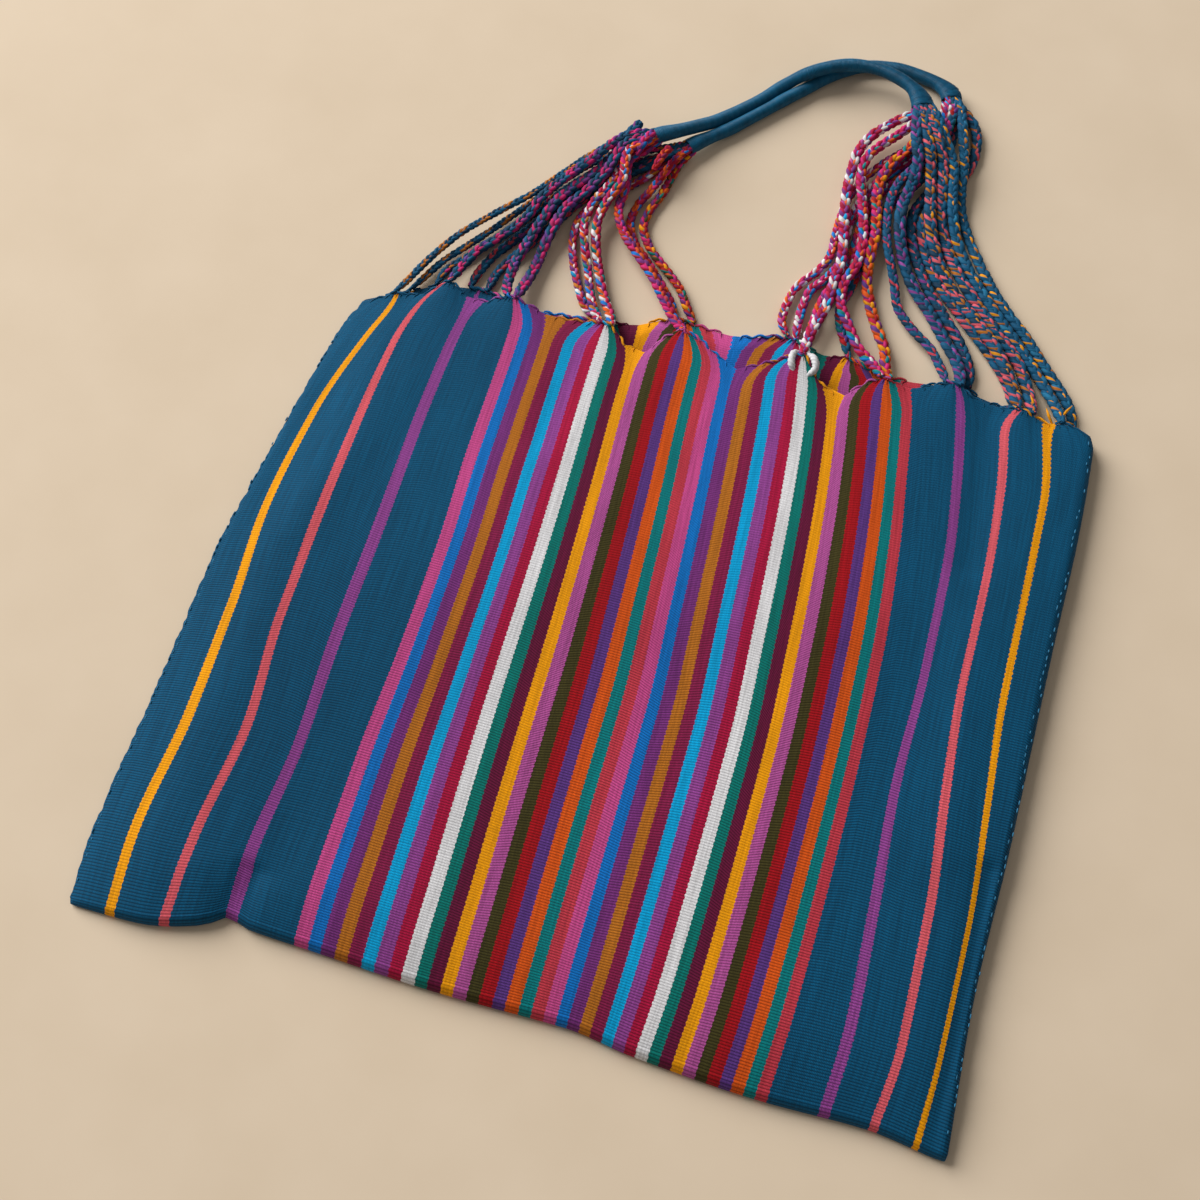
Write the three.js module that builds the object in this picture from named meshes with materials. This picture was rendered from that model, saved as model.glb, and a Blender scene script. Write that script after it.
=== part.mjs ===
// A handwoven tote bag lying flat on its back, mouth towards +Y.
// One length of warp-faced cloth is folded at the bottom and whipped together up both sides.
// The warp ends that are left at the mouth are braided, and the braids run up into two
// thread-wrapped rope handles: one for the front panel and one for the back panel.
// Millimetres, +Z up. The origin is the middle of the cloth's flat underside.
import * as THREE from 'three';

// ---------------------------------------------------------------- driving sizes
const clothThickness = 2;       // warp-faced cotton with thick weft
const pouchDepth = 7.2;         // how far the front panel stands off the back panel
const seamGap = 0.4;            // slit that is left between the panels along a seam
const foldNose = 1.6;           // how far the bottom fold rounds out past its crease
const braidRadius = 2.4;        // a three-strand braid, pressed round
const braidTipRadius = 1.5;     // where it leaves the cloth, and where the handle grips it
const braidSides = 8;
const ropeRadius = 3.6;         // the thread-wrapped part of a handle
const ropeSides = 10;
const clearance = 0.4;          // between a braid's tip and what it meets
const stepLength = 15;          // along a braid, about three diameters
const columns = 40;             // grid lines across one panel
const rows = 12;                // grid lines up one panel

// ---------------------------------------------------------------- outline of the body
// Each edge is a short table of places; the cloth runs smoothly between them.
const leftEdge = [
  { y: -195, x: -215 }, { y: -155, x: -218 }, { y: -80, x: -216 }, { y: -5, x: -215 },
  { y: 45, x: -210 }, { y: 97, x: -204 }, { y: 145, x: -197 }, { y: 168, x: -190 },
];
const rightEdge = [
  { y: -195, x: 214 }, { y: -125, x: 212 }, { y: -45, x: 215 }, { y: 60, x: 217 },
  { y: 133, x: 219 }, { y: 180, x: 218 }, { y: 192, x: 214 },
];
const bottomEdge = [
  { x: -215, y: -195 }, { x: -181, y: -194 }, { x: -149, y: -186 }, { x: -138, y: -179 },
  { x: -126, y: -182 }, { x: -96, y: -183 }, { x: -31, y: -185 }, { x: 30, y: -184 },
  { x: 65, y: -188 }, { x: 128, y: -191 }, { x: 172, y: -190 }, { x: 214, y: -195 },
];
// The mouth is scalloped: it stands up at the foot of each braid and dips between them.
const frontMouth = [
  { x: -190, y: 165 }, { x: -174, y: 172 }, { x: -160, y: 175 }, { x: -146, y: 186 },
  { x: -128, y: 179 }, { x: -110, y: 185 }, { x: -80, y: 181 }, { x: -55, y: 182 },
  { x: -31, y: 171 }, { x: -12, y: 187 }, { x: 0, y: 184 }, { x: 19, y: 177 }, { x: 35, y: 182 },
  { x: 54, y: 193 }, { x: 78, y: 176 }, { x: 101, y: 189 }, { x: 116, y: 191 },
  { x: 136, y: 199 }, { x: 155, y: 193 }, { x: 177, y: 193 }, { x: 190, y: 190 },
  { x: 203, y: 191 }, { x: 214, y: 188 },
];
const backMouth = [
  { x: -190, y: 168 }, { x: -167, y: 180 }, { x: -152, y: 188 }, { x: -130, y: 191 },
  { x: -98, y: 187 }, { x: -62, y: 189 }, { x: -37, y: 194 }, { x: -19, y: 203 },
  { x: -8, y: 202 }, { x: 14, y: 201 }, { x: 44, y: 208 }, { x: 64, y: 203 }, { x: 79, y: 204 },
  { x: 100, y: 199 }, { x: 122, y: 200 }, { x: 143, y: 204 }, { x: 160, y: 198 },
  { x: 172, y: 198 }, { x: 190, y: 193 }, { x: 206, y: 194 }, { x: 214, y: 192 },
];
// Soft swells of the front panel. across and up run 0 to 1 over the panel.
const swells = [
  { across: 0.13, up: 0.36, width: 0.10, length: 0.20, height: 0.9 },
  { across: 0.22, up: 0.08, width: 0.04, length: 0.14, height: -1.4 },
  { across: 0.36, up: 0.62, width: 0.10, length: 0.40, height: 0.7 },
  { across: 0.52, up: 0.30, width: 0.08, length: 0.35, height: -0.8 },
  { across: 0.68, up: 0.70, width: 0.09, length: 0.30, height: 0.8 },
  { across: 0.83, up: 0.42, width: 0.06, length: 0.25, height: -0.8 },
  { across: 0.93, up: 0.60, width: 0.05, length: 0.40, height: 0.8 },
];

// A smooth, monotone reading of a table: key is the known column and value the wanted one.
function lookUp(table, key, value, at) {
  const last = table.length - 1;
  if (at <= table[0][key]) return table[0][value];
  if (at >= table[last][key]) return table[last][value];
  let i = 0;
  while (table[i + 1][key] < at) i += 1;
  const slope = (k) => (table[k + 1][value] - table[k][value]) / (table[k + 1][key] - table[k][key]);
  const tangent = (k) => {
    if (k === 0) return slope(0);
    if (k === last) return slope(last - 1);
    const before = slope(k - 1);
    const after = slope(k);
    return before * after <= 0 ? 0 : (2 * before * after) / (before + after);
  };
  const span = table[i + 1][key] - table[i][key];
  const t = (at - table[i][key]) / span;
  const s = 1 - t;
  return table[i][value] * (1 + 2 * t) * s * s + table[i + 1][value] * t * t * (3 - 2 * t)
    + tangent(i) * span * t * s * s - tangent(i + 1) * span * t * t * s;
}

const mix = THREE.MathUtils.lerp;
const ease = THREE.MathUtils.smoothstep;

// The plan place of a panel's point: across and up run 0 to 1.
function panelPoint(mouth, across, up) {
  const footX = mix(leftEdge[0].x, rightEdge[0].x, across);
  const headX = mix(mouth[0].x, mouth[mouth.length - 1].x, across);
  const y = mix(lookUp(bottomEdge, 'x', 'y', footX), lookUp(mouth, 'x', 'y', headX), up);
  const x = mix(lookUp(leftEdge, 'y', 'x', y), lookUp(rightEdge, 'y', 'x', y), across);
  return new THREE.Vector2(x, y);
}

// The gap between the panels: nothing at the seams and the fold, full depth between.
function pouchGap(across, up) {
  const rise = ease(across, 0, 0.11) * ease(1 - across, 0, 0.08) * ease(up, 0, 0.13);
  let swell = 0;
  for (const s of swells) {
    const a = (across - s.across) / s.width;
    const b = (up - s.up) / s.length;
    swell += s.height * Math.exp(-a * a - b * b);
  }
  return seamGap + rise * (pouchDepth - seamGap + swell);
}

// ---------------------------------------------------------------- mesh helpers
function meshFrom(points, faces) {
  const geometry = new THREE.BufferGeometry();
  geometry.setAttribute('position', new THREE.Float32BufferAttribute(points.flatMap((p) => p.toArray()), 3));
  geometry.setIndex(faces.flat());
  geometry.computeVertexNormals();
  return geometry;
}

// A closed tube along a list of centres, each with its own direction, half width and half height.
function tubeAlong(stations, sides) {
  const points = [];
  const faces = [];
  const last = stations.length - 1;
  stations.forEach((station) => {
    const along = station.along.clone().normalize();
    const across = new THREE.Vector3(-along.y, along.x, 0).normalize();
    const upward = new THREE.Vector3().crossVectors(along, across);
    for (let k = 0; k < sides; k += 1) {
      const angle = (2 * Math.PI * (k + 0.5)) / sides;
      points.push(station.centre.clone()
        .addScaledVector(across, station.halfWidth * Math.cos(angle))
        .addScaledVector(upward, station.halfHeight * Math.sin(angle)));
    }
  });
  for (let i = 0; i < last; i += 1) {
    for (let k = 0; k < sides; k += 1) {
      const a = i * sides + k;
      const b = i * sides + ((k + 1) % sides);
      faces.push([a, b, b + sides], [a, b + sides, a + sides]);
    }
  }
  const tail = last * sides;
  for (let k = 1; k < sides - 1; k += 1) {
    faces.push([0, k + 1, k], [tail, tail + k, tail + k + 1]);
  }
  return meshFrom(points, faces);
}

// ---------------------------------------------------------------- the cloth body
const innerMargin = 0.012;      // share of a panel that a seam or the fold takes up

// An outer skin and an inner skin, each a back row and a front row of points, joined at the
// fold, along both seams and round the lip of the mouth.
function bodyGeometry() {
  const points = [];
  const faces = [];
  const add = (p, z) => points.push(new THREE.Vector3(p.x, p.y, z)) - 1;
  const quad = (a, b, c, d) => faces.push([a, b, c], [a, c, d]);
  const skin = (inner, front) => {
    const grid = [];
    for (let j = 0; j <= rows; j += 1) {
      const line = [];
      for (let i = 0; i <= columns; i += 1) {
        const across = inner ? mix(innerMargin, 1 - innerMargin, i / columns) : i / columns;
        const up = inner ? mix(innerMargin, 1, j / rows) : j / rows;
        const gap = pouchGap(across, up);
        const height = front ? clothThickness + gap : 0;
        const z = inner ? (front ? height : clothThickness) : (front ? height + clothThickness : 0);
        line.push(add(panelPoint(front ? frontMouth : backMouth, across, up), z));
      }
      grid.push(line);
    }
    return grid;
  };
  const outerBack = skin(false, false);
  const outerFront = skin(false, true);
  const innerBack = skin(true, false);
  const innerFront = skin(true, true);
  for (let j = 0; j < rows; j += 1) {
    for (let i = 0; i < columns; i += 1) {
      const cell = (g) => [g[j][i], g[j][i + 1], g[j + 1][i + 1], g[j + 1][i]];
      quad(...cell(outerFront));
      quad(...cell(outerBack).reverse());
      quad(...cell(innerBack));
      quad(...cell(innerFront).reverse());
    }
    // the seams, outside and inside
    const strip = (a, b, i) => quad(a[j][i], b[j][i], b[j + 1][i], a[j + 1][i]);
    strip(outerBack, outerFront, 0);
    strip(outerFront, outerBack, columns);
    strip(innerFront, innerBack, 0);
    strip(innerBack, innerFront, columns);
  }
  // the rounded bottom fold outside, and its crease inside
  const nose = outerBack[0].map((index, i) => {
    const low = points[index];
    const high = points[outerFront[0][i]];
    const out = foldNose * Math.sin((Math.PI * i) / columns) ** 0.2;
    return add(new THREE.Vector2(low.x, low.y - out), (low.z + high.z) / 2);
  });
  for (let i = 0; i < columns; i += 1) {
    quad(outerBack[0][i], outerBack[0][i + 1], nose[i + 1], nose[i]);
    quad(nose[i], nose[i + 1], outerFront[0][i + 1], outerFront[0][i]);
    quad(innerFront[0][i], innerFront[0][i + 1], innerBack[0][i + 1], innerBack[0][i]);
    // the lip of the mouth
    quad(outerFront[rows][i], outerFront[rows][i + 1], innerFront[rows][i + 1], innerFront[rows][i]);
    quad(innerBack[rows][i], innerBack[rows][i + 1], outerBack[rows][i + 1], outerBack[rows][i]);
  }
  faces.push([outerBack[0][0], nose[0], outerFront[0][0]]);
  faces.push([outerBack[0][columns], outerFront[0][columns], nose[columns]]);
  // the ends of the seams, at the mouth
  const seamEnd = (grids, i) => quad(...grids.map((grid) => grid[rows][i]));
  seamEnd([outerBack, outerFront, innerFront, innerBack], 0);
  seamEnd([innerBack, innerFront, outerFront, outerBack], columns);
  return meshFrom(points, faces);
}

// ---------------------------------------------------------------- the handles
// x, y, z along each rope's middle, from its left end to its right end.
const handleRoutes = {
  front: [
    [-61, 312, 13.7], [-57.8, 314.4, 13.7], [-50, 320.5, 12], [-42, 328, 9.2], [-32, 337.5, 6.2],
    [-21, 349.5, 4.5], [-9, 363, 4.2], [0, 374.2, 4.9], [8, 381.2, 7.6], [14, 384.2, 10.5], [21, 388.4, 11.8],
    [30, 392.5, 12.5], [40, 395.6, 12.5], [53, 396, 12.7], [66, 392, 13.4], [76, 386, 13.8],
    [82, 378.5, 13.8], [83.4, 375, 13.8],
  ],
  back: [
    [-42, 316, 5.6], [-39.1, 319.2, 5.6], [-31, 328, 4.4], [-22, 337, 3.9], [-13, 347, 3.9], [-4, 357.3, 3.9],
    [5, 368, 3.9], [14, 377.8, 3.9], [22, 387, 3.9], [31, 395.3, 3.9], [41, 402, 3.9], [52, 405.6, 3.9],
    [64, 407, 3.9], [76, 405.6, 4], [89, 402, 4.6], [97, 396, 5.5], [98.6, 392.2, 5.6],
  ],
};
const handleSteps = 26;         // sections along a rope
const flareLength = 14;         // over which a rope opens out at its end, round its braids
const flareHalfWidth = 7.4;
const flareHalfHeight = 3.9;

function handleCurve(which) {
  const points = handleRoutes[which].map((p) => new THREE.Vector3(...p));
  return new THREE.CatmullRomCurve3(points, false, 'centripetal');
}

function handleGeometry(which) {
  const curve = handleCurve(which);
  const length = curve.getLength();
  const stations = [];
  for (let i = 0; i <= handleSteps; i += 1) {
    const t = i / handleSteps;
    const fromEnd = length * Math.min(t, 1 - t);
    const open = 1 - ease(fromEnd, 0, flareLength);
    stations.push({
      centre: curve.getPointAt(t),
      along: curve.getTangentAt(t),
      halfWidth: mix(ropeRadius, flareHalfWidth, open),
      halfHeight: mix(ropeRadius, flareHalfHeight, open),
    });
  }
  return tubeAlong(stations, ropeSides);
}

// A handle's end: its middle, and the level directions out of it and across it.
function handleEnd(which, side) {
  const curve = handleCurve(which);
  const t = side === 'left' ? 0 : 1;
  const out = curve.getTangentAt(t).multiplyScalar(side === 'left' ? -1 : 1).normalize();
  return { middle: curve.getPointAt(t), out, across: new THREE.Vector3(-out.y, out.x, 0).normalize() };
}

// Near a handle's end its braids lie in lanes, side by side, with every other one on top.
const laneStations = [
  { away: 18, pitch: 2.75, stagger: 2.6 },
  { away: 9, pitch: 2.35, stagger: 2.2 },
  { away: 3, pitch: 1.8, stagger: 1.75 },
  { away: 0, pitch: 1.8, stagger: 1.75 },
];

// ---------------------------------------------------------------- the braids
// panel and foot say where a braid leaves the mouth, and lane is its place in the handle's end,
// counted from its left edge: odd lanes are the upper ones. stations says how many of the lane
// stations it follows, and route lists x, y, z between them.
const braids = [
  { name: 'front_a', side: 'left', panel: 'front', foot: -174, lane: 0, stations: 4, route: [
    [-170, 181, 8], [-164, 198, 6], [-152, 220, 6.5], [-134, 241, 8], [-120, 257, 8],
    [-109.5, 272, 7.9], [-97, 288, 9.8]] },
  { name: 'front_b', side: 'left', panel: 'front', foot: -146, lane: 1, stations: 4, route: [
    [-143, 199, 8], [-137, 213, 8], [-127, 226, 8], [-118, 241, 8.2], [-113, 257, 9], [-104, 271, 10.6],
    [-92, 286, 14.2]] },
  { name: 'front_c', side: 'left', panel: 'front', foot: -112, lane: 2, stations: 4, route: [
    [-115, 195, 8], [-115, 209, 8], [-112, 226, 8], [-109, 241, 8], [-105, 256, 8], [-97, 270, 8],
    [-88, 281, 10]] },
  { name: 'front_d', side: 'left', panel: 'front', foot: -107, lane: 3, stations: 4, route: [
    [-106, 198, 7], [-104, 211, 5], [-103, 226, 6], [-101, 240, 8], [-98, 254, 8], [-90, 268, 8],
    [-82, 280, 13]] },
  { name: 'front_e', side: 'left', panel: 'front', foot: -58, lane: 4, stations: 4, route: [
    [-62, 190, 8], [-68, 201, 6], [-75, 219, 5], [-81, 233, 7.8], [-85, 248, 8.2], [-83, 263, 9.5],
    [-77, 276, 11]] },
  { name: 'front_f', side: 'left', panel: 'front', foot: -51, lane: 5, stations: 4, route: [
    [-54, 191, 8], [-62, 205, 5], [-69, 220, 5], [-75, 235, 6.5], [-78, 249, 8.5], [-76, 263, 11],
    [-71, 274, 15]] },
  { name: 'front_g', side: 'left', panel: 'front', foot: -12, lane: 6, stations: 4, route: [
    [-18, 197, 8.2], [-28, 209, 8], [-39, 223, 8], [-52, 236, 8], [-63, 248, 8.2], [-69, 261, 8.4],
    [-68.5, 273, 9.5]] },
  { name: 'back_a', side: 'left', panel: 'back', foot: -167, lane: 0, stations: 3, route: [
    [-163, 189, 2.7], [-156, 203, 2.7], [-145, 218, 2.7], [-135, 232, 2.7], [-125, 247, 2.7],
    [-115, 262, 2.7], [-107, 274, 2.7], [-97, 287, 2.7], [-85, 300, 2.7], [-73, 309, 2.7]] },
  { name: 'back_b', side: 'left', panel: 'back', foot: -155, lane: 1, stations: 3, route: [
    [-152, 198, 2.7], [-144, 209, 2.7], [-135, 222, 2.7], [-126, 234, 2.7], [-117, 247, 2.7],
    [-108, 262, 2.7], [-100, 274, 2.7], [-90, 287, 2.7], [-78, 299, 3.6], [-70, 305, 5]] },
  { name: 'back_c', side: 'left', panel: 'back', foot: -136, lane: 2, stations: 3, route: [
    [-134, 202, 2.7], [-129, 215, 2.7], [-121, 228, 2.7], [-110, 247, 2.7], [-101, 262, 2.7],
    [-93, 274, 2.7], [-83, 286, 2.7], [-71, 297, 2.7]] },
  { name: 'back_d', side: 'left', panel: 'back', foot: -126, lane: 3, stations: 3, route: [
    [-124, 204, 2.7], [-118, 217, 2.7], [-111, 229, 2.7], [-103, 243, 2.7], [-95, 260, 2.7],
    [-86, 273, 2.7], [-76, 284, 2.7], [-66, 293, 4.4]] },
  { name: 'back_e', side: 'left', panel: 'back', foot: -62, lane: 4, stations: 3, route: [
    [-70, 196, 2.7], [-77, 207, 2.7], [-84, 221, 2.7], [-89, 236, 2.7], [-90, 249, 2.7],
    [-86, 262, 2.7], [-78, 272, 2.7], [-68, 282, 2.7], [-61, 290, 2.7]] },
  { name: 'back_f', side: 'left', panel: 'back', foot: -20, lane: 5, stations: 3, route: [
    [-25, 212, 2.7], [-33, 222, 2.7], [-44, 234, 2.7], [-55, 245, 2.7], [-61, 258, 2.7], [-60, 270, 3],
    [-55, 281, 5]] },
  { name: 'back_g', side: 'left', panel: 'back', foot: -9, lane: 6, stations: 3, route: [
    [-15, 211, 2.7], [-22.5, 222.5, 2.7], [-35, 234, 2.7], [-46, 244.5, 2.7], [-53, 257, 2.7],
    [-52.5, 268, 2.7], [-49, 280, 2.7]] },
  { name: 'front_h', side: 'right', panel: 'front', foot: 54, lane: 0, stations: 2, route: [
    [55, 206, 8], [57, 218, 8], [60, 232, 8], [60, 246, 8], [61, 261, 8], [59, 277, 8], [56, 291, 8],
    [54, 306, 8], [53, 322, 8], [54, 338, 8], [59, 351, 8.5], [67, 360, 10], [75, 367, 11.5]] },
  { name: 'front_i', side: 'right', panel: 'front', foot: 99, lane: 2, stations: 2, route: [
    [92, 201, 8], [83, 209, 7], [75, 221, 7], [67, 234, 8], [66, 248, 8], [70, 262, 8], [70, 277, 8],
    [67, 292, 8], [63, 307, 8], [59, 322, 8], [60, 336, 8], [66, 346, 8.5], [74, 355, 10],
    [81, 364, 11.5]] },
  { name: 'front_j', side: 'right', panel: 'front', foot: 103.5, lane: 4, stations: 2, route: [
    [100, 199, 7], [97, 213, 5], [90, 226, 4], [83, 240, 4], [78, 254, 5], [76, 268, 7], [76, 282, 8],
    [74, 296, 8], [71, 310, 8], [71, 324, 8], [75, 336, 8], [81, 346, 8.5], [85, 356, 10]] },
  { name: 'front_k', side: 'right', panel: 'front', foot: 133, lane: 6, stations: 3, route: [
    [129, 209, 7], [121, 221, 5], [109, 231, 4], [98, 243, 4], [93, 257, 5], [88, 269, 7], [83, 282, 8],
    [80, 296, 8], [79, 310, 8], [81, 323, 8], [87, 335, 8.2], [92.5, 347, 9.9]] },
  { name: 'front_l', side: 'right', panel: 'front', foot: 141, lane: 1, stations: 3, route: [
    [139, 210, 7], [135, 219, 5], [126, 231, 4], [116, 244, 4], [104, 258, 4], [96, 271, 5],
    [90.5, 284, 7], [87, 298, 8.2], [86.5, 310, 8.2], [88.3, 321, 8.8], [89.2, 331, 12.3],
    [87.5, 341, 15], [84, 351, 16.2]] },
  { name: 'front_m', side: 'right', panel: 'front', foot: 174, lane: 3, stations: 3, route: [
    [169, 206, 8.2], [163, 218, 8], [155, 230, 7.2], [142, 246, 4.5], [128, 260, 3],
    [116.5, 275, 3.4], [108.5, 290, 5.5], [103.5, 304, 7.8], [100.5, 318, 9.2], [97.5, 332, 11.6],
    [94, 344, 15]] },
  { name: 'front_n', side: 'right', panel: 'front', foot: 182, lane: 5, stations: 3, route: [
    [177, 209, 6], [168, 228, 3.5], [155, 242, 3], [142, 256, 3], [130, 270, 3], [120.5, 284, 3],
    [113.5, 297, 3], [109, 310, 5.6], [106, 325, 9.2], [102.5, 341, 11.8], [97, 353.5, 15.4]] },
  { name: 'front_o', side: 'right', panel: 'front', foot: 198, lane: 7, stations: 3, route: [
    [193, 204, 6], [184, 217.5, 3.5], [172, 232.5, 3], [160, 245.5, 3], [149, 257.5, 3],
    [138, 270.5, 3], [128, 284, 3.2], [120.5, 297, 4.8], [115, 312, 7.6], [111.5, 327, 9.6],
    [108.5, 342, 10.8]] },
  { name: 'back_h', side: 'right', panel: 'back', foot: 43, lane: 0, stations: 3, route: [
    [38, 217, 2.7], [38, 229, 2.7], [41, 242, 2.7], [49, 254, 2.7], [54, 266, 2.7], [54, 280, 2.7],
    [54, 295, 2.7], [56, 310, 2.7], [61, 324, 2.7], [69, 337, 2.7], [78, 348, 2.7], [87, 359, 2.7]] },
  { name: 'back_i', side: 'right', panel: 'back', foot: 48, lane: 1, stations: 3, route: [
    [47, 219, 2.7], [47, 231, 2.7], [49, 242, 2.7], [55, 251, 2.7], [60, 263, 2.7], [60, 278, 2.7],
    [60, 293, 2.7], [62, 307, 2.7], [67, 320, 2.7], [75, 332, 2.7], [83.5, 343, 3.2], [90, 354, 4.8],
    [95, 363, 6.7]] },
  { name: 'back_j', side: 'right', panel: 'back', foot: 53, lane: 2, stations: 3, route: [
    [55, 220, 2.7], [56, 233, 2.7], [59, 245, 2.7], [65, 256, 2.7], [66, 269, 2.7], [66, 284, 2.7],
    [67, 299, 2.7], [70, 311, 2.7], [76, 323, 2.7], [84, 334, 2.7], [92.5, 346, 2.7], [99, 358, 2.7]] },
  { name: 'back_k', side: 'right', panel: 'back', foot: 79, lane: 3, stations: 3, route: [
    [75, 213, 2.7], [70, 223, 2.7], [67, 235, 2.7], [70, 248, 2.7], [72, 262, 2.7], [72, 277, 2.7],
    [73, 291, 2.7], [77, 304, 2.7], [83, 316, 2.7], [90.5, 327, 3.2], [97, 340, 6.4]] },
  { name: 'back_l', side: 'right', panel: 'back', foot: 146, lane: 4, stations: 3, route: [
    [145, 213, 2.7], [140, 224, 2.7], [132, 236, 2.7], [121, 249, 2.7], [111, 262, 2.7],
    [103, 275, 2.7], [97, 288, 2.7], [94, 300, 2.7], [94, 311, 2.7], [98, 322, 2.7], [103, 335, 2.7]] },
  { name: 'back_n', side: 'right', panel: 'back', foot: 206, lane: 5, stations: 3, route: [
    [201, 207, 2.7], [192, 219, 2.7], [181, 232, 2.7], [170, 245, 2.7], [158, 257, 2.7],
    [147, 270, 2.7], [136.5, 285, 2.7], [127.5, 300, 2.7], [120.5, 314, 3.6], [117, 328, 6.4],
    [115, 344, 8.4], [111.5, 360, 8.4]] },
  { name: 'back_m', side: 'right', panel: 'back', foot: 172, lane: 6, stations: 2, route: [
    [166, 212, 2.7], [155, 226, 2.7], [142, 239, 2.7], [131, 250, 2.7], [119, 263, 2.7],
    [109, 277, 2.7], [103, 291, 2.7], [100, 303, 2.7], [103, 316, 2.7], [109, 327, 2.7],
    [115, 338, 2.7], [119, 351, 2.7], [119.5, 364, 3], [116, 377, 3.6]] },
];

const laneCount = { 'front left': 7, 'back left': 7, 'front right': 8, 'back right': 7 };
const footEase = 8;             // over which a braid swells to its full thickness at its foot
const tipEase = 20;             // and thins again before the handle

// Where a braid starts, clear of the lip however it slants.
function footPoint(braid) {
  const mouth = braid.panel === 'front' ? frontMouth : backMouth;
  const mouthWidth = mouth[mouth.length - 1].x - mouth[0].x;
  const across = (braid.foot - mouth[0].x) / mouthWidth;
  const lip = panelPoint(mouth, across, 1);
  const onFront = pouchGap(across, 1) + 1.5 * clothThickness;
  const z = braid.panel === 'front' ? onFront : braidTipRadius + 0.3;
  const first = new THREE.Vector2(braid.route[0][0], braid.route[0][1]).sub(lip).normalize();
  const beside = [-1, 1].map((s) => panelPoint(mouth, across + (s * braidTipRadius) / mouthWidth, 1).y);
  const highest = Math.max(lip.y, ...beside);
  return new THREE.Vector3(lip.x, highest + clearance + braidTipRadius * Math.abs(first.x), z);
}

// Its places in the handle's end, from the far one to the last.
function lanePoints(braid) {
  const end = handleEnd(braid.panel, braid.side);
  const fromMiddle = braid.lane - (laneCount[`${braid.panel} ${braid.side}`] - 1) / 2;
  const up = braid.lane % 2 === 1 ? 1 : -1;
  return laneStations.slice(laneStations.length - braid.stations).map((station) => end.middle.clone()
    .addScaledVector(end.out, station.away + clearance)
    .addScaledVector(end.across, fromMiddle * station.pitch)
    .add(new THREE.Vector3(0, 0, up * station.stagger)));
}

function braidGeometry(braid) {
  const laid = braid.route.map((p) => new THREE.Vector3(...p));
  const points = [footPoint(braid), ...laid, ...lanePoints(braid)];
  const curve = new THREE.CatmullRomCurve3(points, false, 'centripetal');
  const length = curve.getLength();
  const steps = Math.round(length / stepLength);
  const stations = [];
  for (let i = 0; i <= steps; i += 1) {
    const t = i / steps;
    const fromFoot = ease(length * t, 0, footEase);
    const fromTip = ease(length * (1 - t), 0, tipEase);
    const radius = mix(braidTipRadius, braidRadius, Math.min(fromFoot, fromTip));
    const along = curve.getTangentAt(t);
    stations.push({ centre: curve.getPointAt(t), along, halfWidth: radius, halfHeight: radius });
  }
  return tubeAlong(stations, braidSides);
}

// ---------------------------------------------------------------- the finished bag
const cottonTeal = new THREE.MeshStandardMaterial({ color: 0x1a5573, roughness: 0.85, metalness: 0 });
const threadTeal = new THREE.MeshStandardMaterial({ color: 0x1f6488, roughness: 0.55, metalness: 0 });
const braidYarn = new THREE.MeshStandardMaterial({ color: 0x7a3355, roughness: 0.85, metalness: 0 });

const bag = new THREE.Group();
function addPiece(name, geometry, material) {
  const mesh = new THREE.Mesh(geometry, material.clone());
  mesh.name = name;
  bag.add(mesh);
}
addPiece('body', bodyGeometry(), cottonTeal);
addPiece('handle_front', handleGeometry('front'), threadTeal);
addPiece('handle_back', handleGeometry('back'), threadTeal);
for (const braid of braids) addPiece(`braid_${braid.name}`, braidGeometry(braid), braidYarn);

export default bag;
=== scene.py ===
# %% [markdown]
# # A handwoven tote bag, made in Blender
#
# This lesson builds a bag of the kind that is woven on a backstrap loom: one length of striped,
# warp-faced cotton folded at the bottom and whipped together up both sides. The warp ends left
# at the mouth are braided, and the braids run up into two rope handles wrapped in teal thread.
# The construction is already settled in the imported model. Here it is loaded as a fixed frame,
# and each part gets its finish. Lengths are in metres, except in tables that say millimetres.

# %% Load the frame
import bpy
import math
import numpy as np
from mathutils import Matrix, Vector


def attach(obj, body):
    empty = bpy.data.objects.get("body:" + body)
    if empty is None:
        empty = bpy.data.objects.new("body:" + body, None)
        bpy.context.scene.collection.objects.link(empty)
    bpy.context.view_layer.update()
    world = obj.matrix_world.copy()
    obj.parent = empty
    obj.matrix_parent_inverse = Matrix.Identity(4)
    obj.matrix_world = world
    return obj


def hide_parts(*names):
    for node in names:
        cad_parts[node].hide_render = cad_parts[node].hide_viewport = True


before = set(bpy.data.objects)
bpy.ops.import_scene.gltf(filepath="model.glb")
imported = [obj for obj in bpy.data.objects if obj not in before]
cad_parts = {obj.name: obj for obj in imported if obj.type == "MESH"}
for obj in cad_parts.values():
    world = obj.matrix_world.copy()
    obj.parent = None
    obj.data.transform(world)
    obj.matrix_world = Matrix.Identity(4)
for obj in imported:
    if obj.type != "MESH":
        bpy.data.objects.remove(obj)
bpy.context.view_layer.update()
mm = 0.001

# %% [markdown]
# ## The camera
#
# The bag lies on its back, and the camera looks down at it steeply and a little from the left
# of its own upright, so that its far edge runs away up the picture. A 50 mm lens on a 36 mm
# sensor is close to what a person sees. The lens sits about 80 cm above the floor.

# %% Camera
CAMERA_AT = Vector((0.080, -0.297, 0.797))
CAMERA_TURN = math.radians(16)
CAMERA_TILT = math.radians(67)


def placed(name, data):
    """An object that holds this data, put in the scene."""
    made = bpy.data.objects.new(name, data)
    bpy.context.scene.collection.objects.link(made)
    return made


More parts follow.
